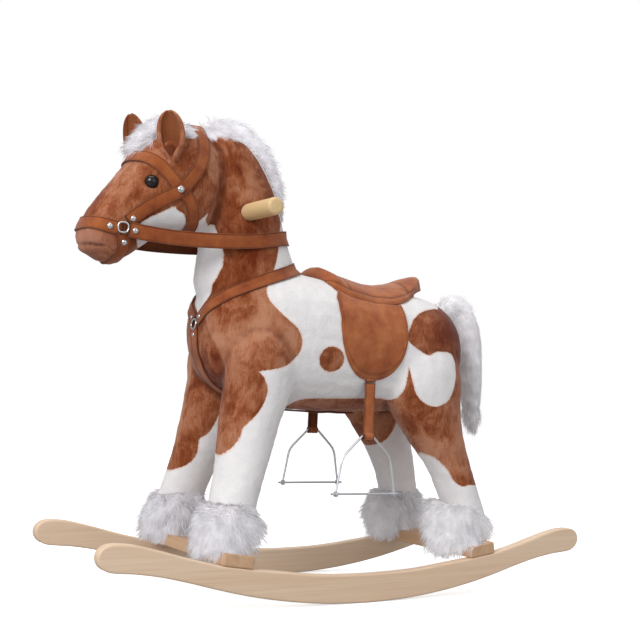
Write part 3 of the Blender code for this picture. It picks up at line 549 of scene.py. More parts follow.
# Outlines of the coat's patches on a side, as y and z in millimetres. 1 is the left side, -1 the right one.
SHOULDER = [
    (-520, 800), (-50, 800), (-50, 600), (-110, 575), (-124, 548), (-130, 520), (-140, 488), (-161, 458),
    (-161, 440), (-140, 418), (-118, 402), (-110, 386), (-113, 366), (-127, 350), (-150, 341), (-172, 337),
    (-184, 335), (-184, 335), (-175, 326), (-168, 309),
]
FRONT_PATCH = {
    1: SHOULDER + [
        (-174, 288), (-188, 268), (-203, 253), (-206, 240), (-213, 228), (-224, 215), (-238, 200),
        (-262, 180), (-300, 150), (-520, 150),
    ],
    -1: SHOULDER + [
        (-170, 275), (-186, 242), (-201, 236), (-202, 222), (-206, 208), (-215, 197), (-229, 188),
        (-262, 170), (-300, 150), (-520, 150),
    ],
}
HIP = [
    (60, 300), (72, 301), (77, 310), (81, 331), (84, 354), (84, 354), (89, 331), (94, 312), (108, 298),
    (130, 292), (155, 303), (169, 328), (177, 352), (178, 374), (168, 382), (142, 382), (130, 379),
    (120, 373), (101, 382), (84, 392), (80, 400), (84, 412), (98, 432), (123, 446), (150, 452), (166, 452),
    (176, 462), (178, 520), (320, 520),
]
REAR_PATCH = {
    1: HIP + [
        (320, 160), (204, 172), (191, 167), (178, 175), (165, 196), (147, 213), (134, 219), (110, 232),
        (85, 240), (66, 250),
    ],
    -1: HIP + [
        (320, 360), (220, 330), (185, 300), (170, 275), (165, 262), (160, 248), (152, 234), (142, 225),
        (125, 219), (105, 222), (85, 232), (66, 240),
    ],
}
BELLY_PATCH = [
    (-98, 270), (-94, 292), (-80, 298.5), (0, 300.5), (45, 304), (75, 300), (100, 240), (0, 200),
]
CHEEK_WHITE = [
    (-357, 534), (-342, 546), (-324, 556), (-306, 567), (-303, 561), (-291, 557), (-284, 548), (-281, 536),
    (-275, 515), (-350, 500),
]
THROAT_WHITE = [
    (-290, 515), (-280, 542), (-266, 547), (-257, 556), (-246, 567), (-246, 567), (-252, 553), (-240, 549),
    (-227, 537), (-222, 515),
]
# Height and half width of the white stripe down the front of the neck, in millimetres
STRIPE = [
    (412, -4), (421, 3), (432, 16), (447, 26), (471, 36), (490, 41), (507, 40), (536, 30), (560, 26),
    (600, 0),
]


def patch_field(co):
    """Metres inside the brown coat, negative in the white, for each point."""
    x, y, z = co.T
    far = x < 0
    # The right side's patches are cut a little differently.
    y2 = y + far * 0.006 * np.sin(z * 26 + 1.0)
    z2 = z + far * 0.006 * np.sin(y * 21)
    left, right = (
        np.maximum(inside_by(FRONT_PATCH[k], y2, z2), inside_by(REAR_PATCH[k], y2, z2)) for k in (1, -1))
    brown = np.maximum(inside_by(BELLY_PATCH, y, z), np.where(far, right, left))
    spot_y, spot_z = np.where(far, -0.076, -0.058), np.where(far, 0.368, 0.359)
    brown = np.maximum(brown, 0.02 - np.hypot((y - spot_y) * 0.92, (z - spot_z) * 1.05))
    white = np.maximum(inside_by(CHEEK_WHITE, y, z), inside_by(THROAT_WHITE, y, z))
    half = np.interp(z, *(np.array(STRIPE).T / 1000))
    stripe = np.where((y < -0.19) & (z > 0.4) & (z < 0.6) & (y > -0.262), half - np.abs(x), -1.0)
    return np.minimum(brown, -np.maximum(white, stripe))


# ---------------- plush skin
SKIN_NODES = ["torso", "neck", "head"] + [f"leg_{e}_{s}" for e in ("front", "rear") for _, s in SIDES]
skin = remeshed(merged("plush_skin", SKIN_NODES), 0.0034)
# Swelling and drawing back fills the clefts where neck, head and legs meet the body.
for step in (0.0055, -0.0055):
    smoothed(skin, 4)
    set_coords(skin, coords(skin) + normals(skin) * step)
    remeshed(skin, 0.0031)
smoothed(skin, 16)

# Where the stuffing swells (or draws in) each side of the skin: amount, centre and radius in millimetres.
SWELLS = [
    (3.0, (50, -330, 625), (16, 26, 10)),  # brow
    (-3.0, (53, -339, 598), (14, 16, 11)),  # eye socket
    (3.2, (45, -300, 560), (20, 30, 26)),  # cheek
    (3.0, (20, -421, 520), (14, 14, 12)),  # nostril, and its opening
    (-3.5, (16, -429, 521), (4.5, 6, 3.2)),
    (3.5, (104, 125, 345), (30, 50, 60)),  # haunch
    (3.0, (100, -185, 350), (30, 40, 50)),  # shoulder
]
# The chin swells on the middle plane. The mouth line runs from a corner to that plane.
CHIN = (2.5, (0, -385, 486), (20, 14, 8))
MOUTH = [(34, -392, 503), (30, -407, 501), (20, -419, 502), (0, -425, 503)]
# Where the brown coat is lighter (or darker): amount, centre and radius in millimetres. Partly the coat's own
# uneven tone, partly painted light and shade: the shoulders, lit from the front, are painted lighter, and the
# neck under the mane is painted darker.
TONES_AND_PAINTED_LIGHT = [
    # painted light on the shoulders
    (0.1, (90, -200, 370), (60, 80, 70)),
    (0.1, (-90, -200, 370), (60, 80, 70)),
    (-0.24, (60, 170, 420), (60, 80, 55)),
    (-0.08, (-60, 170, 420), (60, 80, 55)),
    (0.16, (100, 160, 230), (60, 50, 60)),
    (0.16, (-100, -220, 260), (60, 50, 70)),
    (-0.09, (0, -190, 570), (90, 60, 60)),
    (-0.06, (0, -350, 570), (100, 70, 70)),
    # painted shade on the neck below the mane
    (-0.1, (0, -200, 655), (90, 40, 30)),
    (-0.1, (0, -150, 620), (90, 20, 60)),
    (0.1, (30, -385, 585), (50, 30, 40)),
    (0.07, (0, -420, 510), (50, 30, 30)),
    (-0.12, (50, -290, 625), (20, 20, 30)),
    (-0.1, (45, -350, 575), (20, 20, 8)),
]
# Height and half width of the brown panel down the chest, in millimetres.
PANEL = [(300, 60), (312, 58), (335, 56), (364, 51), (386, 40), (405, 30), (420, 22)]


def bell(co, centre, radius):
    """1 at the centre and falling to 0 around it. Both are in millimetres."""
    d = np.linalg.norm((co - np.array(centre) / 1000) / (np.array(radius) / 1000), axis=1)
    return np.exp(-d * d)


def groove(co, marks, width):
    """A soft line along marks: 1 on it, falling to 0 at about twice the width."""
    tree = kd_of(along(marks, 0.003))
    return np.array([math.exp(-((tree.find(p)[2] / width) ** 2)) for p in co])


def shape_skin():
    # The top of each front leg runs into the shoulder without a step.
    co = coords(skin)
    leg_top = sum(bell(co, (side * 95, -180, 372), (50, 65, 45)) for side, _ in SIDES)
    smoothed(skin, 90, 0.6, leg_top.clip(0, 1))
    co, no = coords(skin), normals(skin)
    push = CHIN[0] / 1000 * bell(co, *CHIN[1:])
    for side, _ in SIDES:
        for amount, (x, y, z), radius in SWELLS:
            push += amount / 1000 * bell(co, (side * x, y, z), radius)
    mouth = groove(co, metres(mirrored(MOUTH)), 0.0022)
    push -= 0.0028 * mouth
    push += 0.001 * value_noise(co, 38, 3) + 0.0005 * value_noise(co, 120, 5)
    co += no * (push + 0.0004)[:, None]
    set_coords(skin, co)
    # Where the form is hollow, as in the groins and under the jaw, the nap gets painted shade.
    field, plain, edges = no.copy(), co.copy(), read(skin.data.edges, "vertices", 2, np.int64)
    for _ in range(14):
        field, plain = spread(field, edges), spread(plain, edges)
    depth = ((plain - co) * unit(field)).sum(axis=1)
    x, y, z = co.T
    panel = np.interp(z, *(np.array(PANEL).T / 1000)) - np.abs(x)
    # The panel down the chest is painted darker: painted shade on the chest.
    chest = (panel / 0.0015).clip(0, 1) * (y < -0.18) * (z < 0.42) * ((z - 0.296) / 0.02).clip(0, 1)
    seam = np.exp(-((panel / 0.0022) ** 2)) * (y < -0.19) * (z < 0.412) * (z > 0.3)
    tone = -0.13 * chest + sum(amount * bell(co, *where) for amount, *where in TONES_AND_PAINTED_LIGHT)
    # A darker band along the neck just below the rein: painted shadow of the rein.
    tone -= 0.06 * np.exp(-(((z - 0.515) / 0.022) ** 2)) * ((y + 0.26) / 0.03).clip(0, 1)
    # Painted shade in the hollows, and a dark line along the seam of the chest panel.
    seam_and_painted_shade = np.maximum((depth / 0.0014).clip(0, 1) * 0.75, seam * 0.6)
    # Painted shade around the roots of the ears, where they meet the head.
    ear_root = bell(co, (50, -316, 648), (12, 12, 13)).round()
    painted(skin, "patch", patch_field(co))
    painted(skin, "tone", tone)
    painted(skin, "seam_and_painted_shade", seam_and_painted_shade + ear_root * 0.8)
    painted(skin, "crease", mouth * 0.85)
    painted(skin, "muzzle", (bell(co, (0, -415, 508), (50, 32, 24)) * 1.3).clip(0, 1))


shape_skin()
skin.data.materials.append(PINTO)
done(skin, replaces=SKIN_NODES)
SKIN_TREE = tree_of(skin)


# ---------------- long fur
def shrunk(name, node, depth):
    """The form under the fur: this CAD node, drawn in by depth where it stands off the skin."""
    obj = smoothed(remeshed(merged(name, [node]), 0.003), 6)
    co, no = coords(obj), normals(obj)
    away = np.array([SKIN_TREE.find_nearest(Vector(p))[3] for p in co])
    set_coords(obj, co - no * (depth * ((away - 0.003) / 0.01).clip(0, 1))[:, None])
    return smoothed(obj, 4)


def scattered(obj, count, rng, where=None):
    """Random points of a mesh's surface, with their normals."""
    obj.data.calc_loop_triangles()
    tri = read(obj.data.loop_triangles, "vertices", 3, np.int64)
    co, no = coords(obj), normals(obj)
    a, b, c = co[tri[:, 0]], co[tri[:, 1]], co[tri[:, 2]]
    area = np.linalg.norm(np.cross(b - a, c - a), axis=1)
    if where is not None:
        area = area * where((a + b + c) / 3)
    pick = np.searchsorted(np.cumsum(area) / area.sum(), rng.random(count)).clip(0, len(tri) - 1)
    u, v = rng.random(count), rng.random(count)
    over = u + v > 1
    u[over], v[over] = 1 - u[over], 1 - v[over]
    w = np.stack([1 - u - v, u, v], axis=1)[:, :, None]
    points = (co[tri[pick]] * w).sum(axis=1)
    norms = (no[tri[pick]] * w).sum(axis=1)
    return points, norms / np.linalg.norm(norms, axis=1, keepdims=True)


def strands(points, norms, flow, length, rng, lift, fall, wave, clumps, pull, width=0.0013, steps=4):
    """Tapered ribbons that leave the surface, follow the flow and hang. Their tips gather in clumps."""
    n = len(points)
    reach = np.asarray(length) * rng.uniform(0.7, 1.15, n)
    wild = rng.normal(0, 1, (n, 3))
    way = unit(norms * lift + unit(flow) * (1 - lift) + wild * wave)
    bend = unit(rng.normal(0, 1, (n, 3))) * wave
    t = np.linspace(0, 1, steps + 1)[None, :, None]
    hang = bend[:, None] * t**2 + np.array((0, 0, -fall)) * t**2
    line = points[:, None] + reach[:, None, None] * (way[:, None] * t + hang)
    chosen = rng.choice(n, clumps, replace=False)
    tree = kd_of(points[chosen])
    mate = chosen[[tree.find(p)[1] for p in points]]
    hold = pull * rng.uniform(0.5, 1.0, n)[:, None, None] * t**1.3
    line = line * (1 - hold) + (line[mate] + (line - line[mate]) * 0.12) * hold
    tangent = unit(np.gradient(line, axis=1))
    face = unit(norms + rng.normal(0, 0.22, (n, 3)))
    side = unit(np.cross(tangent, face[:, None]))
    thick = width * rng.uniform(0.7, 1.2, n)[:, None, None] * ((1 - t) ** 0.6 * 0.85 + 0.15)
    verts = np.stack([line - side * thick / 2, line + side * thick / 2], axis=2).reshape(-1, 3)
    row = (np.arange(n) * (steps + 1) * 2)[:, None] + np.arange(steps)[None] * 2
    return verts, np.stack([row, row + 1, row + 3, row + 2], axis=2).reshape(-1, 4)


def tuft(base, count, rng, lie, length, *style, where=None, **sizes):
    """Strands on random points of base. lie is their flow: how far they part sideways, and their y and z."""
    p, n = scattered(base, count, rng, where)
    flow = lie(p) if callable(lie) else (p * (1, 0, 0)) * lie[0] + np.array((0, *lie[1:]))
    size = length(p) if callable(length) else length
    return strands(p, n, flow, size, rng, *style, **sizes)


def furred(name, base, made, hair):
    """Joins the strands onto the form they grow from."""
    verts, faces = coords(base), [tuple(p.vertices) for p in base.data.polygons]
    index = [1] * len(faces)
    for v, f in made:
        faces += [tuple(q) for q in (f + len(verts)).tolist()]
        verts = np.vstack([verts, v])
    index += [0] * (len(faces) - len(index))
    bpy.data.objects.remove(base)
    obj = obj_from(name, verts, faces, (hair, WHITE_PLUSH), index)
    obj.visible_shadow = False  # fine hair lets the light through
    return obj


CROSSBOARD_Y, BOARD_TOP = 0.219, 0.079
TILT = math.tan(math.radians(8.3))


def grown_cuff(end, side, seed):
    node = f"fur_cuff_{end}_{side}"
    rng = np.random.default_rng(seed)
    low, high = (np.array(c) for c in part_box(node))
    middle = (low + high) / 2

    def height(p):
        return ((p[:, 2] - low[2]) / (high[2] - low[2])).clip(0, 1)

    base = shrunk("cuff_form", node, 0.0085)
    co = coords(base)
    share = height(co)
    taper = np.interp(share, (0, 0.35, 0.6, 1.0), (0.84, 1.0, 1.05, 0.86))
    co[:, :2] = middle[:2] + (co[:, :2] - middle[:2]) * taper[:, None]
    # The tuft leans forward, and its back edge is clipped short above the board.
    wide, shift = (0.9, -0.006) if end == "front" else (1.1, -0.021 if side == "left" else -0.01)
    rear = ((co[:, 1] - middle[1]) / (high[1] - middle[1])).clip(0, 1)
    clipped = 0.013 * rear * (1 - share / 0.5).clip(0, 1)
    co[:, 1] = middle[1] + (co[:, 1] - middle[1]) * wide + shift - clipped
    lump = value_noise(co, 42, seed) * 0.0045 + value_noise(co, 95, seed + 5) * 0.0012
    set_coords(base, co + normals(base) * lump[:, None])
    way = 1 if end == "rear" else -1

    def lie(p):
        share = height(p)[:, None]
        return unit((p - middle) * (1, 1, 0.1)) * 0.5 + np.array((0, 0, 1)) * (share - 0.9)

    made = []
    for count, length, clumps, pull in ((10500, 0.016, 700, 0.65), (2600, 0.024, 260, 0.8)):
        v, f = tuft(
            base, count, rng, lie, lambda p: length * np.interp(height(p), (0, 0.6, 1.0), (1.1, 1.0, 0.6)),
            0.34, 0.34, 0.12, clumps, pull, width=0.0014)
        board = BOARD_TOP + (v[:, 1] - way * CROSSBOARD_Y) * way * TILT
        beyond = np.abs(v[:, 1] - way * CROSSBOARD_Y) > 0.025
        v[:, 2] = np.maximum(v[:, 2], np.where(beyond, board - 0.018, board + 0.0005))
        v[:, 0] = v[:, 0].clip(-0.1555, 0.1555)
        made.append((v, f))
    obj = furred(f"cuff_{end}_{side}", base, made, REAR_FUR_PAINTED_LIGHTER if end == "rear" else FUR)
    done(obj, replaces=[node])


for seed, legs in enumerate(SKIN_NODES[3:], 11):
    grown_cuff(*legs.split("_")[1:], seed)


def grow_mane():
    rng = np.random.default_rng(21)
    base = shrunk("mane_form", "mane", 0.006)
    set_coords(base, coords(base) + normals(base) * (value_noise(coords(base), 60, 4) * 0.0022)[:, None])
    made = []
    for count, length, *style in (
        (8500, 0.016, 0.4, 0.28, 0.15, 600, 0.65),
        (2200, 0.023, 0.46, 0.28, 0.15, 260, 0.8),
    ):
        made.append(tuft(base, count, rng, (8, 0.5, -0.25),
                         lambda p: length * np.interp(p[:, 2], (0.575, 0.6, 0.66), (0.25, 0.5, 1.0)), *style))
    done(furred("mane_fur", base, made, FUR), replaces=["mane"])

    base = shrunk("forelock_form", "forelock", 0.003)
    made = []
    for count, length, *style in (
        (5200, 0.014, 0.36, 0.3, 0.15, 360, 0.65),
        (1500, 0.021, 0.4, 0.3, 0.15, 180, 0.8),
    ):
        v, f = tuft(base, count, rng, (5, -0.6, -0.2), length, *style)
        ragged = 0.003 * np.sin(v[:, 2] * 900)
        v[:, 0] = np.where(v[:, 1] < -0.29, v[:, 0].clip(-0.024 + ragged, 0.0335 + ragged), v[:, 0])
        made.append((v, f))

    def poll(c):
        x, y, z = c.T
        return (np.abs(x) < np.where(y < -0.29, 0.03, 0.042)) & (y > -0.308) & (y < -0.276) & (z > 0.655)

    def behind_headstall(c):
        x, y, z = c.T
        return (np.abs(x) < 0.03) & (y > -0.258) & (y < -0.205) & (z > 0.655)

    def crest(c):
        x, y, z = c.T
        edge = np.interp(z, (0.6, 0.628, 0.655, 0.677, 0.687), (-0.132, -0.146, -0.165, -0.187, -0.215))
        return (np.abs(x) < 0.031) & (z > 0.598) & (y > edge + 0.002) & (y > -0.245)

    # The tuft runs on over the poll, and the mane falls over both sides of the crest as far as the piping.
    for where, count, lie, length, *style in (
        (poll, 2600, (12, 0.5, -0.2), 0.013, 0.42, 0.25, 0.14, 260, 0.7),
        (behind_headstall, 3000, (25, 0.15, -0.5), 0.016, 0.3, 0.35, 0.16, 240, 0.75),
        (crest, 3600, (14, 0.6, -0.3), 0.012, 0.25, 0.2, 0.14, 300, 0.7),
    ):
        made.append(tuft(skin, count, rng, lie, length, *style, where=where))
    done(furred("forelock_fur", base, made, FUR), replaces=["forelock"])


# The middle line of the tail, as y and z in millimetres
TAIL_LINE = [
    (218, 445), (228, 460), (243, 468), (260, 463), (274, 449), (283, 430), (289, 405), (293, 372),
    (296, 332), (300, 294), (304, 262),
]


def tail_way(points):
    """The direction in which the tail runs beside each point."""
    line = np.array(TAIL_LINE) / 1000
    ways = unit(np.gradient(line, axis=0))
    away = np.linalg.norm(points[:, None, 1:] - line[None], axis=2)
    weight = np.exp(-((away / 0.03) ** 2)) + 1e-9
    way = (weight[:, :, None] * ways[None]).sum(axis=1) / weight.sum(axis=1)[:, None]
    return np.stack([np.zeros(len(points)), way[:, 0], way[:, 1]], axis=1)


def grow_tail():
    rng = np.random.default_rng(31)
    base = shrunk("tail_form", "tail", 0.006)
    set_coords(base, coords(base) - np.array((0, 0.0025, 0)))
    made = [
        tuft(base, 14000, rng, tail_way, 0.01, 0.2, 0.2, 0.06, 1200, 0.4, steps=3),
        tuft(base, 900, rng, tail_way, 0.024, 0.2, 0.2, 0.15, 90, 0.7, width=0.0014,
             where=lambda c: c[:, 2] < 0.3),
        tuft(base, 2600, rng, tail_way, 0.018, 0.34, 0.1, 0.16, 200, 0.6, width=0.0014,
             where=lambda c: (c[:, 1] < 0.262) & (c[:, 2] > 0.43)),
    ]
    fur = furred("tail_fur", base, made, REAR_FUR_PAINTED_LIGHTER)
    done(fur, body="tail", replaces=["tail"])


def grow_dock():
    """Hair of the rump that runs into the root of the tail and hides its seam."""
    root = np.array((0.0, 0.212, 0.448))
    v, f = tuft(skin, 1500, np.random.default_rng(37), (-4, 0.9, 0.25), 0.02, 0.3, 0.1, 0.14, 150, 0.7,
                where=lambda c: np.linalg.norm((c - root) * (1, 0.8, 1), axis=1) < 0.019, width=0.0014)
    obj = obj_from("tail_dock_fur", v, f, (REAR_FUR_PAINTED_LIGHTER,))
    obj.visible_shadow = False
    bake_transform(obj)


grow_mane()
grow_tail()
grow_dock()


# ---------------- ears and eyes
# share of the ear's height, half width, wall
EAR = [
    (-0.14, 0.0085, 0.0046), (0.00, 0.0118, 0.0056), (0.14, 0.016, 0.0062), (0.34, 0.0202, 0.0066),
    (0.58, 0.0208, 0.0064), (0.8, 0.0172, 0.0056), (0.94, 0.0108, 0.0042), (1.00, 0.0046, 0.0024),
]
# base, tip and the way the opening faces
EAR_SEWN = {
    1: ((0.0495, -0.311, 0.638), (0.051, -0.322, 0.704), (0.74, -0.67, 0.0)),
    -1: ((-0.0465, -0.325, 0.641), (-0.0515, -0.34, 0.715), (0.42, -0.9, 0.0)),
}


def sewn_ear(side, hand, rows=26, cols=18):
    """A cup of plush: an outer layer, then an inner one, from one edge of the opening to the other."""
    base, tip, front = (Vector(v) for v in EAR_SEWN[side])
    up = (tip - base).normalized()
    front = (front - up * front.dot(up)).normalized()
    across = up.cross(front)
    ring = 2 * (cols + 1)
    points, seam_and_painted_shade = [], []
    for i in range(rows + 1):
        share = -0.14 + 1.14 * i / rows
        half, wall = spline(EAR, share)
        middle = base + (tip - base) * share + front * (-0.006 * math.sin(math.pi * max(share, 0)))
        opening = math.radians(min(106 - 22 * max(share, 0) + 210 * max(0.26 - share, 0), 178))
        for r, order in ((half, 1), (half - wall, -1)):
            for k in range(cols + 1):
                a = opening * (2 * k / cols - 1) * order
                depth = -math.cos(a) * r * 0.8 + half * 0.3
                points.append(middle + front * depth + across * (math.sin(a) * r))
                u = abs(2 * k / cols - 1)
                # Painted shade on the inner layer, darkest deep in the cup near its base, with a darker line
                # near each edge of the opening.
                shaded = (1 - i / rows) ** 0.7 * (1 - u**3) * 0.9 + 0.35 * (0.7 < u < 0.92)
                seam_and_painted_shade.append(shaded if order < 0 else 0.0)
    faces = tube_faces(rows + 1, ring)
    index = [int(cols < n % ring < ring - 1) for n in range(rows * ring)] + [0, 0]
    obj = obj_from("ear_" + hand + "_plush", points, faces, (BROWN_PLUSH, LINING), index)
    painted(obj, "seam_and_painted_shade", seam_and_painted_shade)
    done(outward(obj), replaces=["ear_" + hand])


for side, hand in SIDES:
    sewn_ear(side, hand)

for side, hand in SIDES:
    centre = Vector((side * 0.0462, -0.3405, 0.5975))
    out = Vector((side * 0.9, -0.4, 0.12)).normalized()
    r = 0.0104
    dome = [(r * math.sin(math.pi - a), r * math.cos(math.pi - a)) for a in np.linspace(0.35, 3.0, 16)]
    v, f = lathe([(0.0006, -r * 0.9)] + dome + [(0.0004, r * 0.999)], facing(centre, out), 36)
    done(obj_from("eye_" + hand + "_glass", v, f, (EYE,)), replaces=["eye_" + hand])
    bead = [(0.0102 + 0.0014 * math.cos(a), 0.0022 + 0.0016 * math.sin(a)) for a in np.linspace(-2.4, 2.6, 9)]
    v, f = lathe([(0.007, -0.002)] + bead + [(0.0076, 0.0018)], facing(centre, out), 36)
    # The rim is drawn out to a corner behind the eye.
    back = Vector((side * 0.18, 0.95, -0.26)).normalized()
    moved = []
    for p in v:
        d = max((p - centre).normalized().dot(back), 0)
        moved.append(p + back * (0.0095 * d**5) - out * (0.0012 * d**4))
    done(obj_from("eye_" + hand + "_rim", moved, f, (LID,)))


# ---------------- straps
STRAP_T = 0.0024
# One half across a strap: place, height and darkness of the edge.
HALF_PROFILE = [
    (0.2, 1.02, 0.0), (0.37, 0.97, 0.0), (0.395, 0.92, 0.65), (0.415, 0.98, 0.75), (0.44, 1.12, 0.3),
    (0.475, 1.1, 0.35), (0.497, 0.85, 0.6), (0.5, 0.35, 0.9), (0.48, 0.0, 1.0),
]
STRAP_PROFILE = [(-u, h, dark) for u, h, dark in HALF_PROFILE[::-1]] + [(0.0, 1.04, 0.0)] + HALF_PROFILE + [
    (0.0, 0.05, 0.6)]


def square(path, i, faced):
    """The way out of a band at a point of its path, and the way across it."""
    way = way_at(path, i)
    normal = (faced[i] - way * faced[i].dot(way)).normalized()
    return normal, way.cross(normal)


def band(name, path, faced, width, thick, material, rises=None, body="horse", replaces=()):
    """A strip with sewn edges along path, facing the faced ways. rises lift its edges and its middle."""
    points, shade = [], []
    for i, p in enumerate(path):
        normal, side = square(path, i, faced)
        for u, up, dark in STRAP_PROFILE:
            rise = 0.0 if rises is None else float(np.interp(u, (-0.5, 0, 0.5), rises[i]))
            points.append(p + side * (u * width) + normal * (rise + up * thick))
            shade.append(dark if 0 < i < len(path) - 1 else 1.0)
    obj = outward(obj_from(name, points, tube_faces(len(path), len(STRAP_PROFILE)), (material,)))
    painted(obj, "edge", shade)
    done(obj, body=body, replaces=replaces)


def strap(name, marks, width=0.0195, upright=False, reach=0.012, lift=0.0006):
    """A strap that lies on the plush along marks, in millimetres. An upright one keeps its face level."""
    path = along(metres(marks), 0.0035)
    faced = []
    for p in path:
        spot, normal, _, away = SKIN_TREE.find_nearest(p)
        off = p - spot
        faced.append(off.normalized() if away > 0.004 and off.dot(normal) > 0 else normal)
    last = len(path) - 1
    for _ in range(5):
        faced = [(faced[max(i - 1, 0)] + faced[i] * 2 + faced[min(i + 1, last)]).normalized()
                 for i in range(last + 1)]
    if upright:
        for i, p in enumerate(path):
            n = way_at(path, i).cross(Vector((0, 0, 1)))
            faced[i] = -n if n.dot(p - Vector((0, -0.17, p.z))) < 0 else n

    def rise(q, normal):
        """How far q moves along normal to lie on the plush."""
        start = q + normal * 0.03
        spot, _, _, drop = SKIN_TREE.ray_cast(start, -normal, 0.03 + reach)
        if spot is None:
            return 0.0
        moved = ((start - normal * (drop - lift)) - q).dot(normal)
        return 0.0 if upright and moved < 0 else moved

    # The plush is felt along the middle and the two edges, then eased, as a band bridges hollows.
    felt = []
    for i, p in enumerate(path):
        normal, side = square(path, i, faced)
        felt.append([rise(p + side * (u * width), normal) for u in (-0.5, 0, 0.5)])
    h = np.array(felt)
    for _ in range(6):
        longer = np.vstack([h[:1], h, h[-1:]])
        h = np.maximum((longer[:-2] + 2 * longer[1:-1] + longer[2:]) / 4, h - 0.0004)
    band(name + "_suede", path, faced, width, STRAP_T, STRAP_SUEDE, h, replaces=[name])


strap("noseband", mirrored([
    (44, -380, 527), (41, -390, 527.5), (39, -399, 529), (34, -410, 531), (22, -420, 532.5),
    (0, -425, 533.5),
]))
strap("headstall", mirrored([
    (45, -372, 537), (47, -356, 552), (52, -339, 565), (57, -320, 577), (59, -300, 590), (60, -283, 612),
    (58, -272, 629), (54, -265, 645), (45, -262, 667), (30, -263, 686), (0, -264, 699),
]), lift=0.0012)
strap("browband", mirrored([
    (59, -304, 593), (57, -320, 611), (50, -333, 624), (35, -346, 633), (18, -354, 636), (0, -357, 637),
]))
strap("throatlatch", mirrored([
    (59, -297, 588), (54, -285, 576), (48, -279, 564), (36, -274, 550), (18, -276, 540), (0, -279, 537),
]))
strap("chin_strap", mirrored([
    (42, -378, 524), (40, -376, 517), (37, -373, 506), (30, -374, 495), (18, -378, 488), (0, -380, 485),
]))
strap("rein", mirrored([
    (45.5, -370, 526), (47, -356, 524), (49, -330, 522), (51, -300, 521), (53, -260, 522), (55, -225, 524),
    (56, -192, 527), (56, -170, 530), (53, -148, 534.5), (45, -127, 539), (30, -109, 543), (0, -99, 546),
]), width=0.0225, upright=True, reach=0.006, lift=0.0016)
strap("breast_collar", mirrored([
    (6, -239, 408), (32, -233, 427), (48, -222, 439), (58, -206, 450), (64, -186, 460), (66, -166, 469),
    (65, -144, 478), (58, -121, 486), (44, -100, 493), (23, -87, 496), (0, -83, 498),
]))
strap("belly_strap", [
    (0, -239, 397), (0, -235, 365), (0, -225, 339), (0, -208, 319), (0, -180, 300), (0, -140, 287),
    (0, -100, 281), (0, -50, 278), (0, 0, 278), (0, 45, 278),
])

# ---------------- rings and rivets
def ring(name, place, normal, major, replaces, square=0.0, wire=0.0014, turns=48, sides=12):
    matrix = facing(place, normal)
    points, faces = [], []
    for i in range(turns):
        a = 2 * math.pi * i / turns
        for k in range(sides):
            b = 2 * math.pi * k / sides
            r = major * (1 + square * abs(math.sin(2 * a)) ** 2) + wire * math.cos(b)
            points.append(matrix @ Vector((r * math.cos(a), r * math.sin(a), wire * math.sin(b))))
            here, on, q = i * sides, (i + 1) % turns * sides, (k + 1) % sides
            faces.append((here + k, on + k, on + q, here + q))
    done(obj_from(name, points, faces, (CHROME,)), replaces=replaces)


for side, hand in SIDES:
    ring("bit_ring_" + hand + "_wire", (side * 0.0462, -0.379, 0.528), (side * 0.97, -0.24, 0.0), 0.0072,
         ["bit_ring_" + hand], square=0.1)
ring("chest_ring_wire", (0.0, -0.2412, 0.402), (0, -1, 0.1), 0.0078, ["chest_ring"])

STRAP_TREES = [tree_of(o) for o in bpy.data.objects if o.name.endswith("_suede")]


def rivet(name, place, way, r, replaces=()):
    """A domed rivet on the outermost strap that a line along way meets at place."""
    place, way = Vector(place), Vector(way).normalized()
    hits = [tree.ray_cast(place + way * 0.03, -way, 0.06) for tree in STRAP_TREES]
    spot, normal, _, _ = min((h for h in hits if h[0]), key=lambda h: h[3])
    if normal.dot(way) < 0:
        normal = -normal
    profile = [(r * 0.5, -0.003), (r * 0.5, 0.0)] + [
        (r * math.cos(a) if a > 0.2 else r, 0.0003 + 0.62 * r * math.sin(a)) for a in np.linspace(0.0, 1.5, 9)
    ]
    v, f = lathe(profile, facing(spot, (normal + way).normalized()), 24)
    done(obj_from(name, v, f, (CHROME,)), replaces=replaces)


AROUND_BIT = metres([(41.5, -397, 528.2), (46, -365, 541.5), (47, -361, 524.6), (39, -373.5, 507.5)])
for side, hand in SIDES:
    rivet("cheek_rivet_" + hand + "_dome", (side * 0.06, -0.301, 0.59), (side, -0.25, 0), 0.0054,
          ["cheek_rivet_" + hand])
    for k, (x, y, z) in enumerate(AROUND_BIT):
        rivet(f"bridle_rivet_{hand}_{k}", (side * x, y, z), (side, -0.3, 0), 0.0044)
    rivet("collar_rivet_" + hand, (side * 0.013, -0.238, 0.413), (side * 0.2, -1, 0.1), 0.0034)
rivet("belly_rivet", (0.0, -0.238, 0.386), (0, -1, 0), 0.0034)


# ---------------- saddle and stirrup leathers
def panel(name, top, under, dark):
    """A padded panel: a grid of top points over a grid of under points, closed round its rim."""
    rows, cols = len(top), len(top[0])
    upper = [p for row in top for p in row]
    base = rows * cols
    faces = []
    for i in range(rows - 1):
        for k in range(cols - 1):
            a = i * cols + k
            faces.append((a, a + 1, a + cols + 1, a + cols))
            faces.append((base + a, base + a + cols, base + a + cols + 1, base + a + 1))
    rim = [(0, k) for k in range(cols)] + [(i, cols - 1) for i in range(1, rows)]
    rim += [(rows - 1, k) for k in range(cols - 2, -1, -1)] + [(i, 0) for i in range(rows - 2, 0, -1)]
    for (i, k), (j, m) in zip(rim, rim[1:] + rim[:1]):
        a, b = i * cols + k, j * cols + m
        faces.append((b, a, base + a, base + b))
    obj = outward(obj_from(name, upper + [p for row in under for p in row], faces, (SUEDE,)), 1e-5)
    tree = kd_of(upper)
    painted(obj, "edge", [dark[tree.find(v.co)[1]] for v in obj.data.vertices])
    return obj


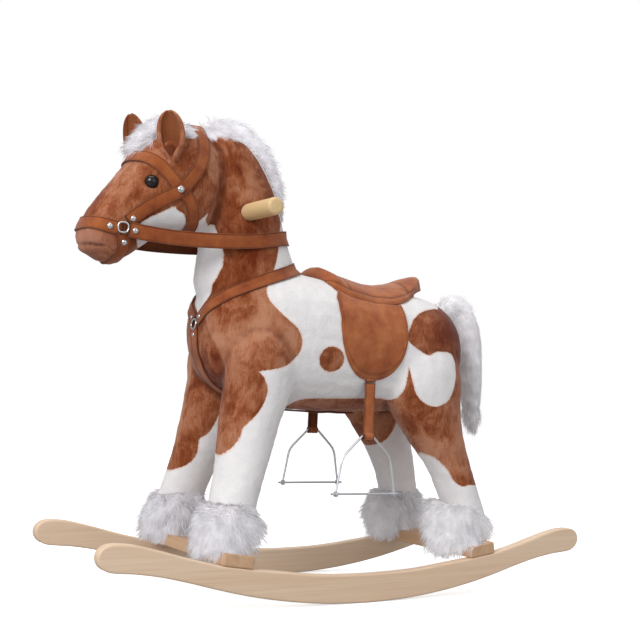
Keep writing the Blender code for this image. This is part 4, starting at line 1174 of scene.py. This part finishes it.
def piping(name, path, radius, material=SUEDE, sides=10):
    points, side = [], None
    for i, p in enumerate(path):
        way = way_at(path, i)
        side = (way.orthogonal() if side is None else side - way * side.dot(way)).normalized()
        up = way.cross(side)
        for k in range(sides):
            a = 2 * math.pi * k / sides
            points.append(p + side * (radius * math.cos(a)) + up * (radius * math.sin(a)))
    obj = obj_from(name, points, tube_faces(len(path), sides), (material,))
    if material is SUEDE:
        painted(obj, "edge", [0.25] * len(points))
    done(obj)


def stitched(distance, width):
    """How close to a line of stitches, from 1 on it to 0."""
    return math.exp(-((distance / width) ** 2))


def body_span(y):
    """The lowest and highest z of the plush on the middle plane at y."""
    rays = ((0.1, 1), (0.6, -1))
    return [SKIN_TREE.ray_cast(Vector((0, y, z)), Vector((0, 0, way)))[0].z for z, way in rays]


BODY = [(y, *body_span(y)) for y in np.linspace(-0.07, 0.19, 27)]


def round_body(y, a, lift=0.0):
    """The point of the plush at y that faces angle a from the top towards +X, and the way out there."""
    low, high = spline(BODY, y)
    way = Vector((math.sin(a), 0, math.cos(a)))
    spot = SKIN_TREE.ray_cast(Vector((0, y, (low + high) / 2 + 0.02)) + way * 0.3, -way)[0]
    return spot + way * lift, way


# y, thickness, half angle of the edge in degrees, how far the top leans back
SEAT = [
    (-0.043, 0.01, 38, -0.004), (-0.034, 0.02, 48, -0.004), (-0.012, 0.015, 54, 0.0), (0.03, 0.01, 56, 0.0),
    (0.07, 0.011, 55, 0.0), (0.098, 0.016, 48, 0.003), (0.12, 0.026, 37, 0.011), (0.138, 0.034, 25, 0.023),
    (0.148, 0.03, 13, 0.029),
]


def build_seat(rows=60, cols=56):
    top, under, dark = [], [], []
    for i in range(rows + 1):
        share = i / rows
        y = SEAT[0][0] + (SEAT[-1][0] - SEAT[0][0]) * share
        thick, edge, lean = spline(SEAT, y)
        top.append([])
        under.append([])
        for k in range(cols + 1):
            u = 2 * k / cols - 1
            low, way = round_body(y, math.radians(edge) * u, 0.0002)
            swell = 0.004 + (thick - 0.004) * (1 - u * u) ** 0.8
            swell *= 0.45 + 0.55 * min(min(share, 1 - share) * 26, 1.0) ** 0.6
            swell *= 0.55 + 0.45 * (1 - abs(u) ** 18) ** 0.5
            # a stitched line inside the edge, and two across the seat
            crossing = stitched(share - 0.8, 0.01) + stitched(share - 0.17, 0.01)
            seam = stitched(abs(u) - 0.86, 0.014) + crossing * (abs(u) < 0.84)
            swell -= 0.0011 * min(seam, 1)
            top[-1].append(low + way * swell + Vector((0, lean * (1 - u * u), 0)))
            under[-1].append(low)
            dark.append(min(0.75 * seam, 0.75) if abs(u) < 0.97 else 0.35)
    obj = panel("saddle_seat_suede", top, under, dark)
    done(obj, replaces=["saddle_seat"])
    for side, hand in SIDES:
        edge = [row[cols if side > 0 else 0] + Vector((side * 0.0006, 0, 0.0012)) for row in under]
        piping("saddle_piping_" + hand, edge, 0.0019)


def on_skin(p, normal, lift):
    """p moved along normal to stand lift above the plush."""
    start = p + normal * 0.05
    spot, _, _, drop = SKIN_TREE.ray_cast(start, -normal, 0.1)
    return p if spot is None else start - normal * (drop - lift)


FLAP_Y, FLAP_HALF, FLAP_TOP, FLAP_LOW, FLAP_T = 0.019, 0.061, 0.44, 0.3315, 0.0034


def build_flap(side, hand, rows=56, cols=30):
    top, under, dark, rim = [], [], [], []
    for i in range(rows + 1):
        u = -math.cos(math.pi * i / rows)
        y = FLAP_Y + FLAP_HALF * u
        low = FLAP_LOW + (FLAP_TOP - 0.026 - FLAP_LOW) * (1 - math.sqrt(max(1 - abs(u) ** 2.3, 0)))
        high = round_body(y, math.radians(spline(SEAT, y)[1] - 5))[0].z
        top.append([])
        under.append([])
        for k in range(cols + 1):
            share = k / cols
            z = high + (low - high) * share
            tucked = 0.02 * max(-u - 0.5, 0) * max(1 - 3 * share, 0)
            way = Vector((side * 0.9, 0, max(z - 0.41, 0) * 8)).normalized()
            p = on_skin(Vector((side * 0.09, y + tucked, z)), way, 0.0006)
            edge = min(1 - share, (1 - abs(u)) * 1.8)
            seam = stitched(edge - 0.075, 0.016)
            swell = FLAP_T * (0.55 + 0.45 * min(edge * 14, 1) ** 0.5)
            top[-1].append(p + Vector((side * (swell - 0.0006 * seam), 0, 0)))
            under[-1].append(p)
            dark.append(min(0.6 * seam, 0.6))
        rim.append(top[-1][-1] - Vector((side * 0.0012, 0, 0)))
    obj = panel("saddle_flap_" + hand + "_suede", top, under, dark)
    done(obj, replaces=["saddle_flap_" + hand])
    piping("flap_piping_" + hand, top[0][:-1:2] + rim + top[-1][-3::-2], 0.0017)


build_seat()
for side, hand in SIDES:
    build_flap(side, hand)

# Along the left edge of the mane, from the poll down, in millimetres
NECK_PIPING = [
    (24.5, -243, 684), (26, -215, 687), (27.5, -187, 677), (29, -165, 655), (27, -146, 628),
    (24, -132, 600), (20, -123, 574), (15, -112, 545), (9, -102, 520), (4, -93, 503),
]
for side, hand in SIDES:
    path = []
    for x, y, z in metres(NECK_PIPING):
        spot, normal, _, _ = SKIN_TREE.find_nearest(Vector((side * x, y, z)))
        path.append(tuple(spot + normal * 0.0002))
    piping("neck_piping_" + hand, along(path, 0.004), 0.0013, WHITE_PLUSH)

LOOP_Z = 0.244
for side, hand, y in ((1, "left", 0.018), (-1, "right", 0.034)):
    x, out, body = side * 0.0945, Vector((side, 0, 0)), "stirrup_strap_" + hand
    hanging = [Vector((x, y, z)) for z in np.linspace(0.3262, LOOP_Z, 26)]
    band("stirrup_leather_" + hand + "_suede", hanging, [out] * 26, 0.0185, 0.0026, SUEDE, body=body,
         replaces=["stirrup_leather_" + hand])
    middle = Vector((x + side * 0.0013, y, LOOP_Z))
    turn = np.linspace(-0.6, 2 * math.pi - 0.6, 26)
    loop = [middle + Vector((0.0034 * math.sin(a), 0, 0.004 * math.cos(a))) for a in turn]
    band("stirrup_loop_" + hand, loop, [(p - middle).normalized() for p in loop], 0.018, 0.0014, SUEDE,
         body=body)
    root = [Vector((x, y, z)) for z in np.linspace(0.372, 0.3272, 14)]
    root = [on_skin(p, out, 0.0) for p in root[:6]] + root[6:]
    band("leather_root_" + hand, root, [out] * 14, 0.0185, 0.0022, SUEDE)

# ---------------- rockers and handle with true round ends
# Half outlines of a rocker, as y and z. The upper edge is flat where a crossboard sits.
ROCKER_UNDER = [
    (0.000, 0.0000), (0.06, 0.0019), (0.108, 0.006), (0.156, 0.0125), (0.204, 0.0213), (0.25, 0.0322),
    (0.29, 0.0428), (0.33, 0.0521), (0.368, 0.0583), (0.39, 0.0602), (0.409, 0.063), (0.4205, 0.0705),
    (0.4246, 0.082), (0.42, 0.093), (0.409, 0.0985), (0.39, 0.0988), (0.368, 0.0957), (0.33, 0.0862),
    (0.29, 0.0752), (0.262, 0.0684), (0.247, 0.0607 + 0.028 * TILT),
]
ROCKER_OVER = [
    (0.191, 0.0607 - 0.028 * TILT), (0.172, 0.0545), (0.15, 0.052), (0.105, 0.0467), (0.06, 0.0434),
    (0.0, 0.042),
]


def smooth_run(marks, spacing):
    return [(p.y, p.z) for p in along([(0, y, z) for y, z in marks], spacing)]


def rounded_plate(node, outline, middle, half, radius, material):
    """A board cut to the outline, with its edges rounded over."""
    p = np.array(outline)
    way = unit(np.roll(p, -1, axis=0) - np.roll(p, 1, axis=0))
    inward = np.stack([-way[:, 1], way[:, 0]], axis=1)
    arc = [(radius * (1 - math.cos(a)), radius * (1 - math.sin(a))) for a in np.linspace(0, math.pi / 2, 5)]
    rows = [(middle - half + dx, d) for dx, d in arc] + [(middle + half - dx, d) for dx, d in arc[::-1]]
    points = [(x, y, z) for x, d in rows for y, z in p + inward * d]
    obj = outward(obj_from(node + "_board", points, tube_faces(len(rows), len(p)), (material,)))
    for face in obj.data.polygons[-2:]:
        face.use_smooth = False
    done(obj, replaces=[node])


half_outline = smooth_run(ROCKER_UNDER, 0.006) + smooth_run(ROCKER_OVER, 0.006)[:-1]
outline = half_outline + [(-y, z) for y, z in reversed(half_outline[1:])]
for side, hand in SIDES:
    rounded_plate("rocker_" + hand, outline, side * 0.131, 0.009, 0.0028, PINE)

low, high = (Vector(c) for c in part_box("handle_dowel"))
half, r = (high.x - low.x) / 2, (high.z - low.z) / 2
soft = 0.005
turn = np.linspace(0.05, math.pi / 2, 8)
ends = [(r - soft + soft * math.sin(a), half - soft + soft * math.cos(a)) for a in turn]
profile = [(a, -b) for a, b in ends] + [(r, -half * k / 8) for k in range(7, -8, -1)] + ends[::-1]
v, f = lathe(profile, facing((low + high) / 2, (1, 0, 0)), 48)
done(obj_from("handle_grip", v, f, (BEECH,)), replaces=["handle_dowel"])

# ---------------- wood and metal that stay as they are
for chosen, starts in (
    (PINE, "rocker"),
    (PINE_CROSS, "crossboard"),
    (INNER_PINE, ("leg_post", "neck_board", "spine_board")),
    (BEECH, "handle"),
    (STEEL, ("board_bolt", "cross_nut", "stirrup_b")),
):
    for name, obj in NODES.items():
        if name.startswith(starts):
            for material_slot in obj.material_slots:
                material_slot.material = chosen


# ---------------- room
def room():
    """A pale floor that the camera sees almost white, a white sky and four soft lamps."""
    s = Shader("floor", Roughness=0.9)
    seen = s.node("LightPath").outputs["Is Camera Ray"]
    s.colour(s.mix(seen, (0.4, 0.4, 0.41, 1), (0.93, 0.93, 0.93, 1)))
    s.put(s.bsdf.inputs["Emission Color"], (1, 1, 1, 1))
    s.put(s.bsdf.inputs["Emission Strength"], s.times(seen, 0.62))
    rim = [(14 * math.sin(a), 14 * math.cos(a), 0) for a in np.arange(96) * -2 * math.pi / 96]
    obj_from("floor", rim, [range(96)], (s.material,))
    world = bpy.data.worlds.new("studio")
    world.use_nodes = True
    bpy.context.scene.world = world
    nodes, link = world.node_tree.nodes, world.node_tree.links.new
    lamp, sky = nodes["Background"], nodes.new("ShaderNodeBackground")
    for n, strength in ((lamp, 0.46), (sky, 1.0)):
        n.inputs["Color"].default_value = (1, 1, 1, 1)
        n.inputs["Strength"].default_value = strength
    mix = nodes.new("ShaderNodeMixShader")
    link(nodes.new("ShaderNodeLightPath").outputs["Is Camera Ray"], mix.inputs["Fac"])
    link(lamp.outputs[0], mix.inputs[1])
    link(sky.outputs[0], mix.inputs[2])
    link(mix.outputs[0], nodes["World Output"].inputs["Surface"])
    for name, place, size, watts in (
        ("key", (1.3, -2.5, 1.9), 1.9, 54),
        ("fill", (2.8, 0.4, 1.3), 2.4, 10),
        ("top", (-0.2, -0.2, 3.2), 2.6, 26),
        ("rear", (-2.4, 1.2, 1.8), 2.4, 12),
    ):
        light = bpy.data.lights.new(name, "AREA")
        light.shape = "DISK"
        light.size = size
        light.energy = watts
        obj = linked(name, light)
        obj.location = place
        obj.rotation_mode = "QUATERNION"
        obj.rotation_quaternion = (Vector(place) - Vector((0, 0, 0.35))).to_track_quat("Z", "Y")
    bpy.context.scene.view_settings.view_transform = "Standard"
    bpy.context.scene.view_settings.look = "None"


room()
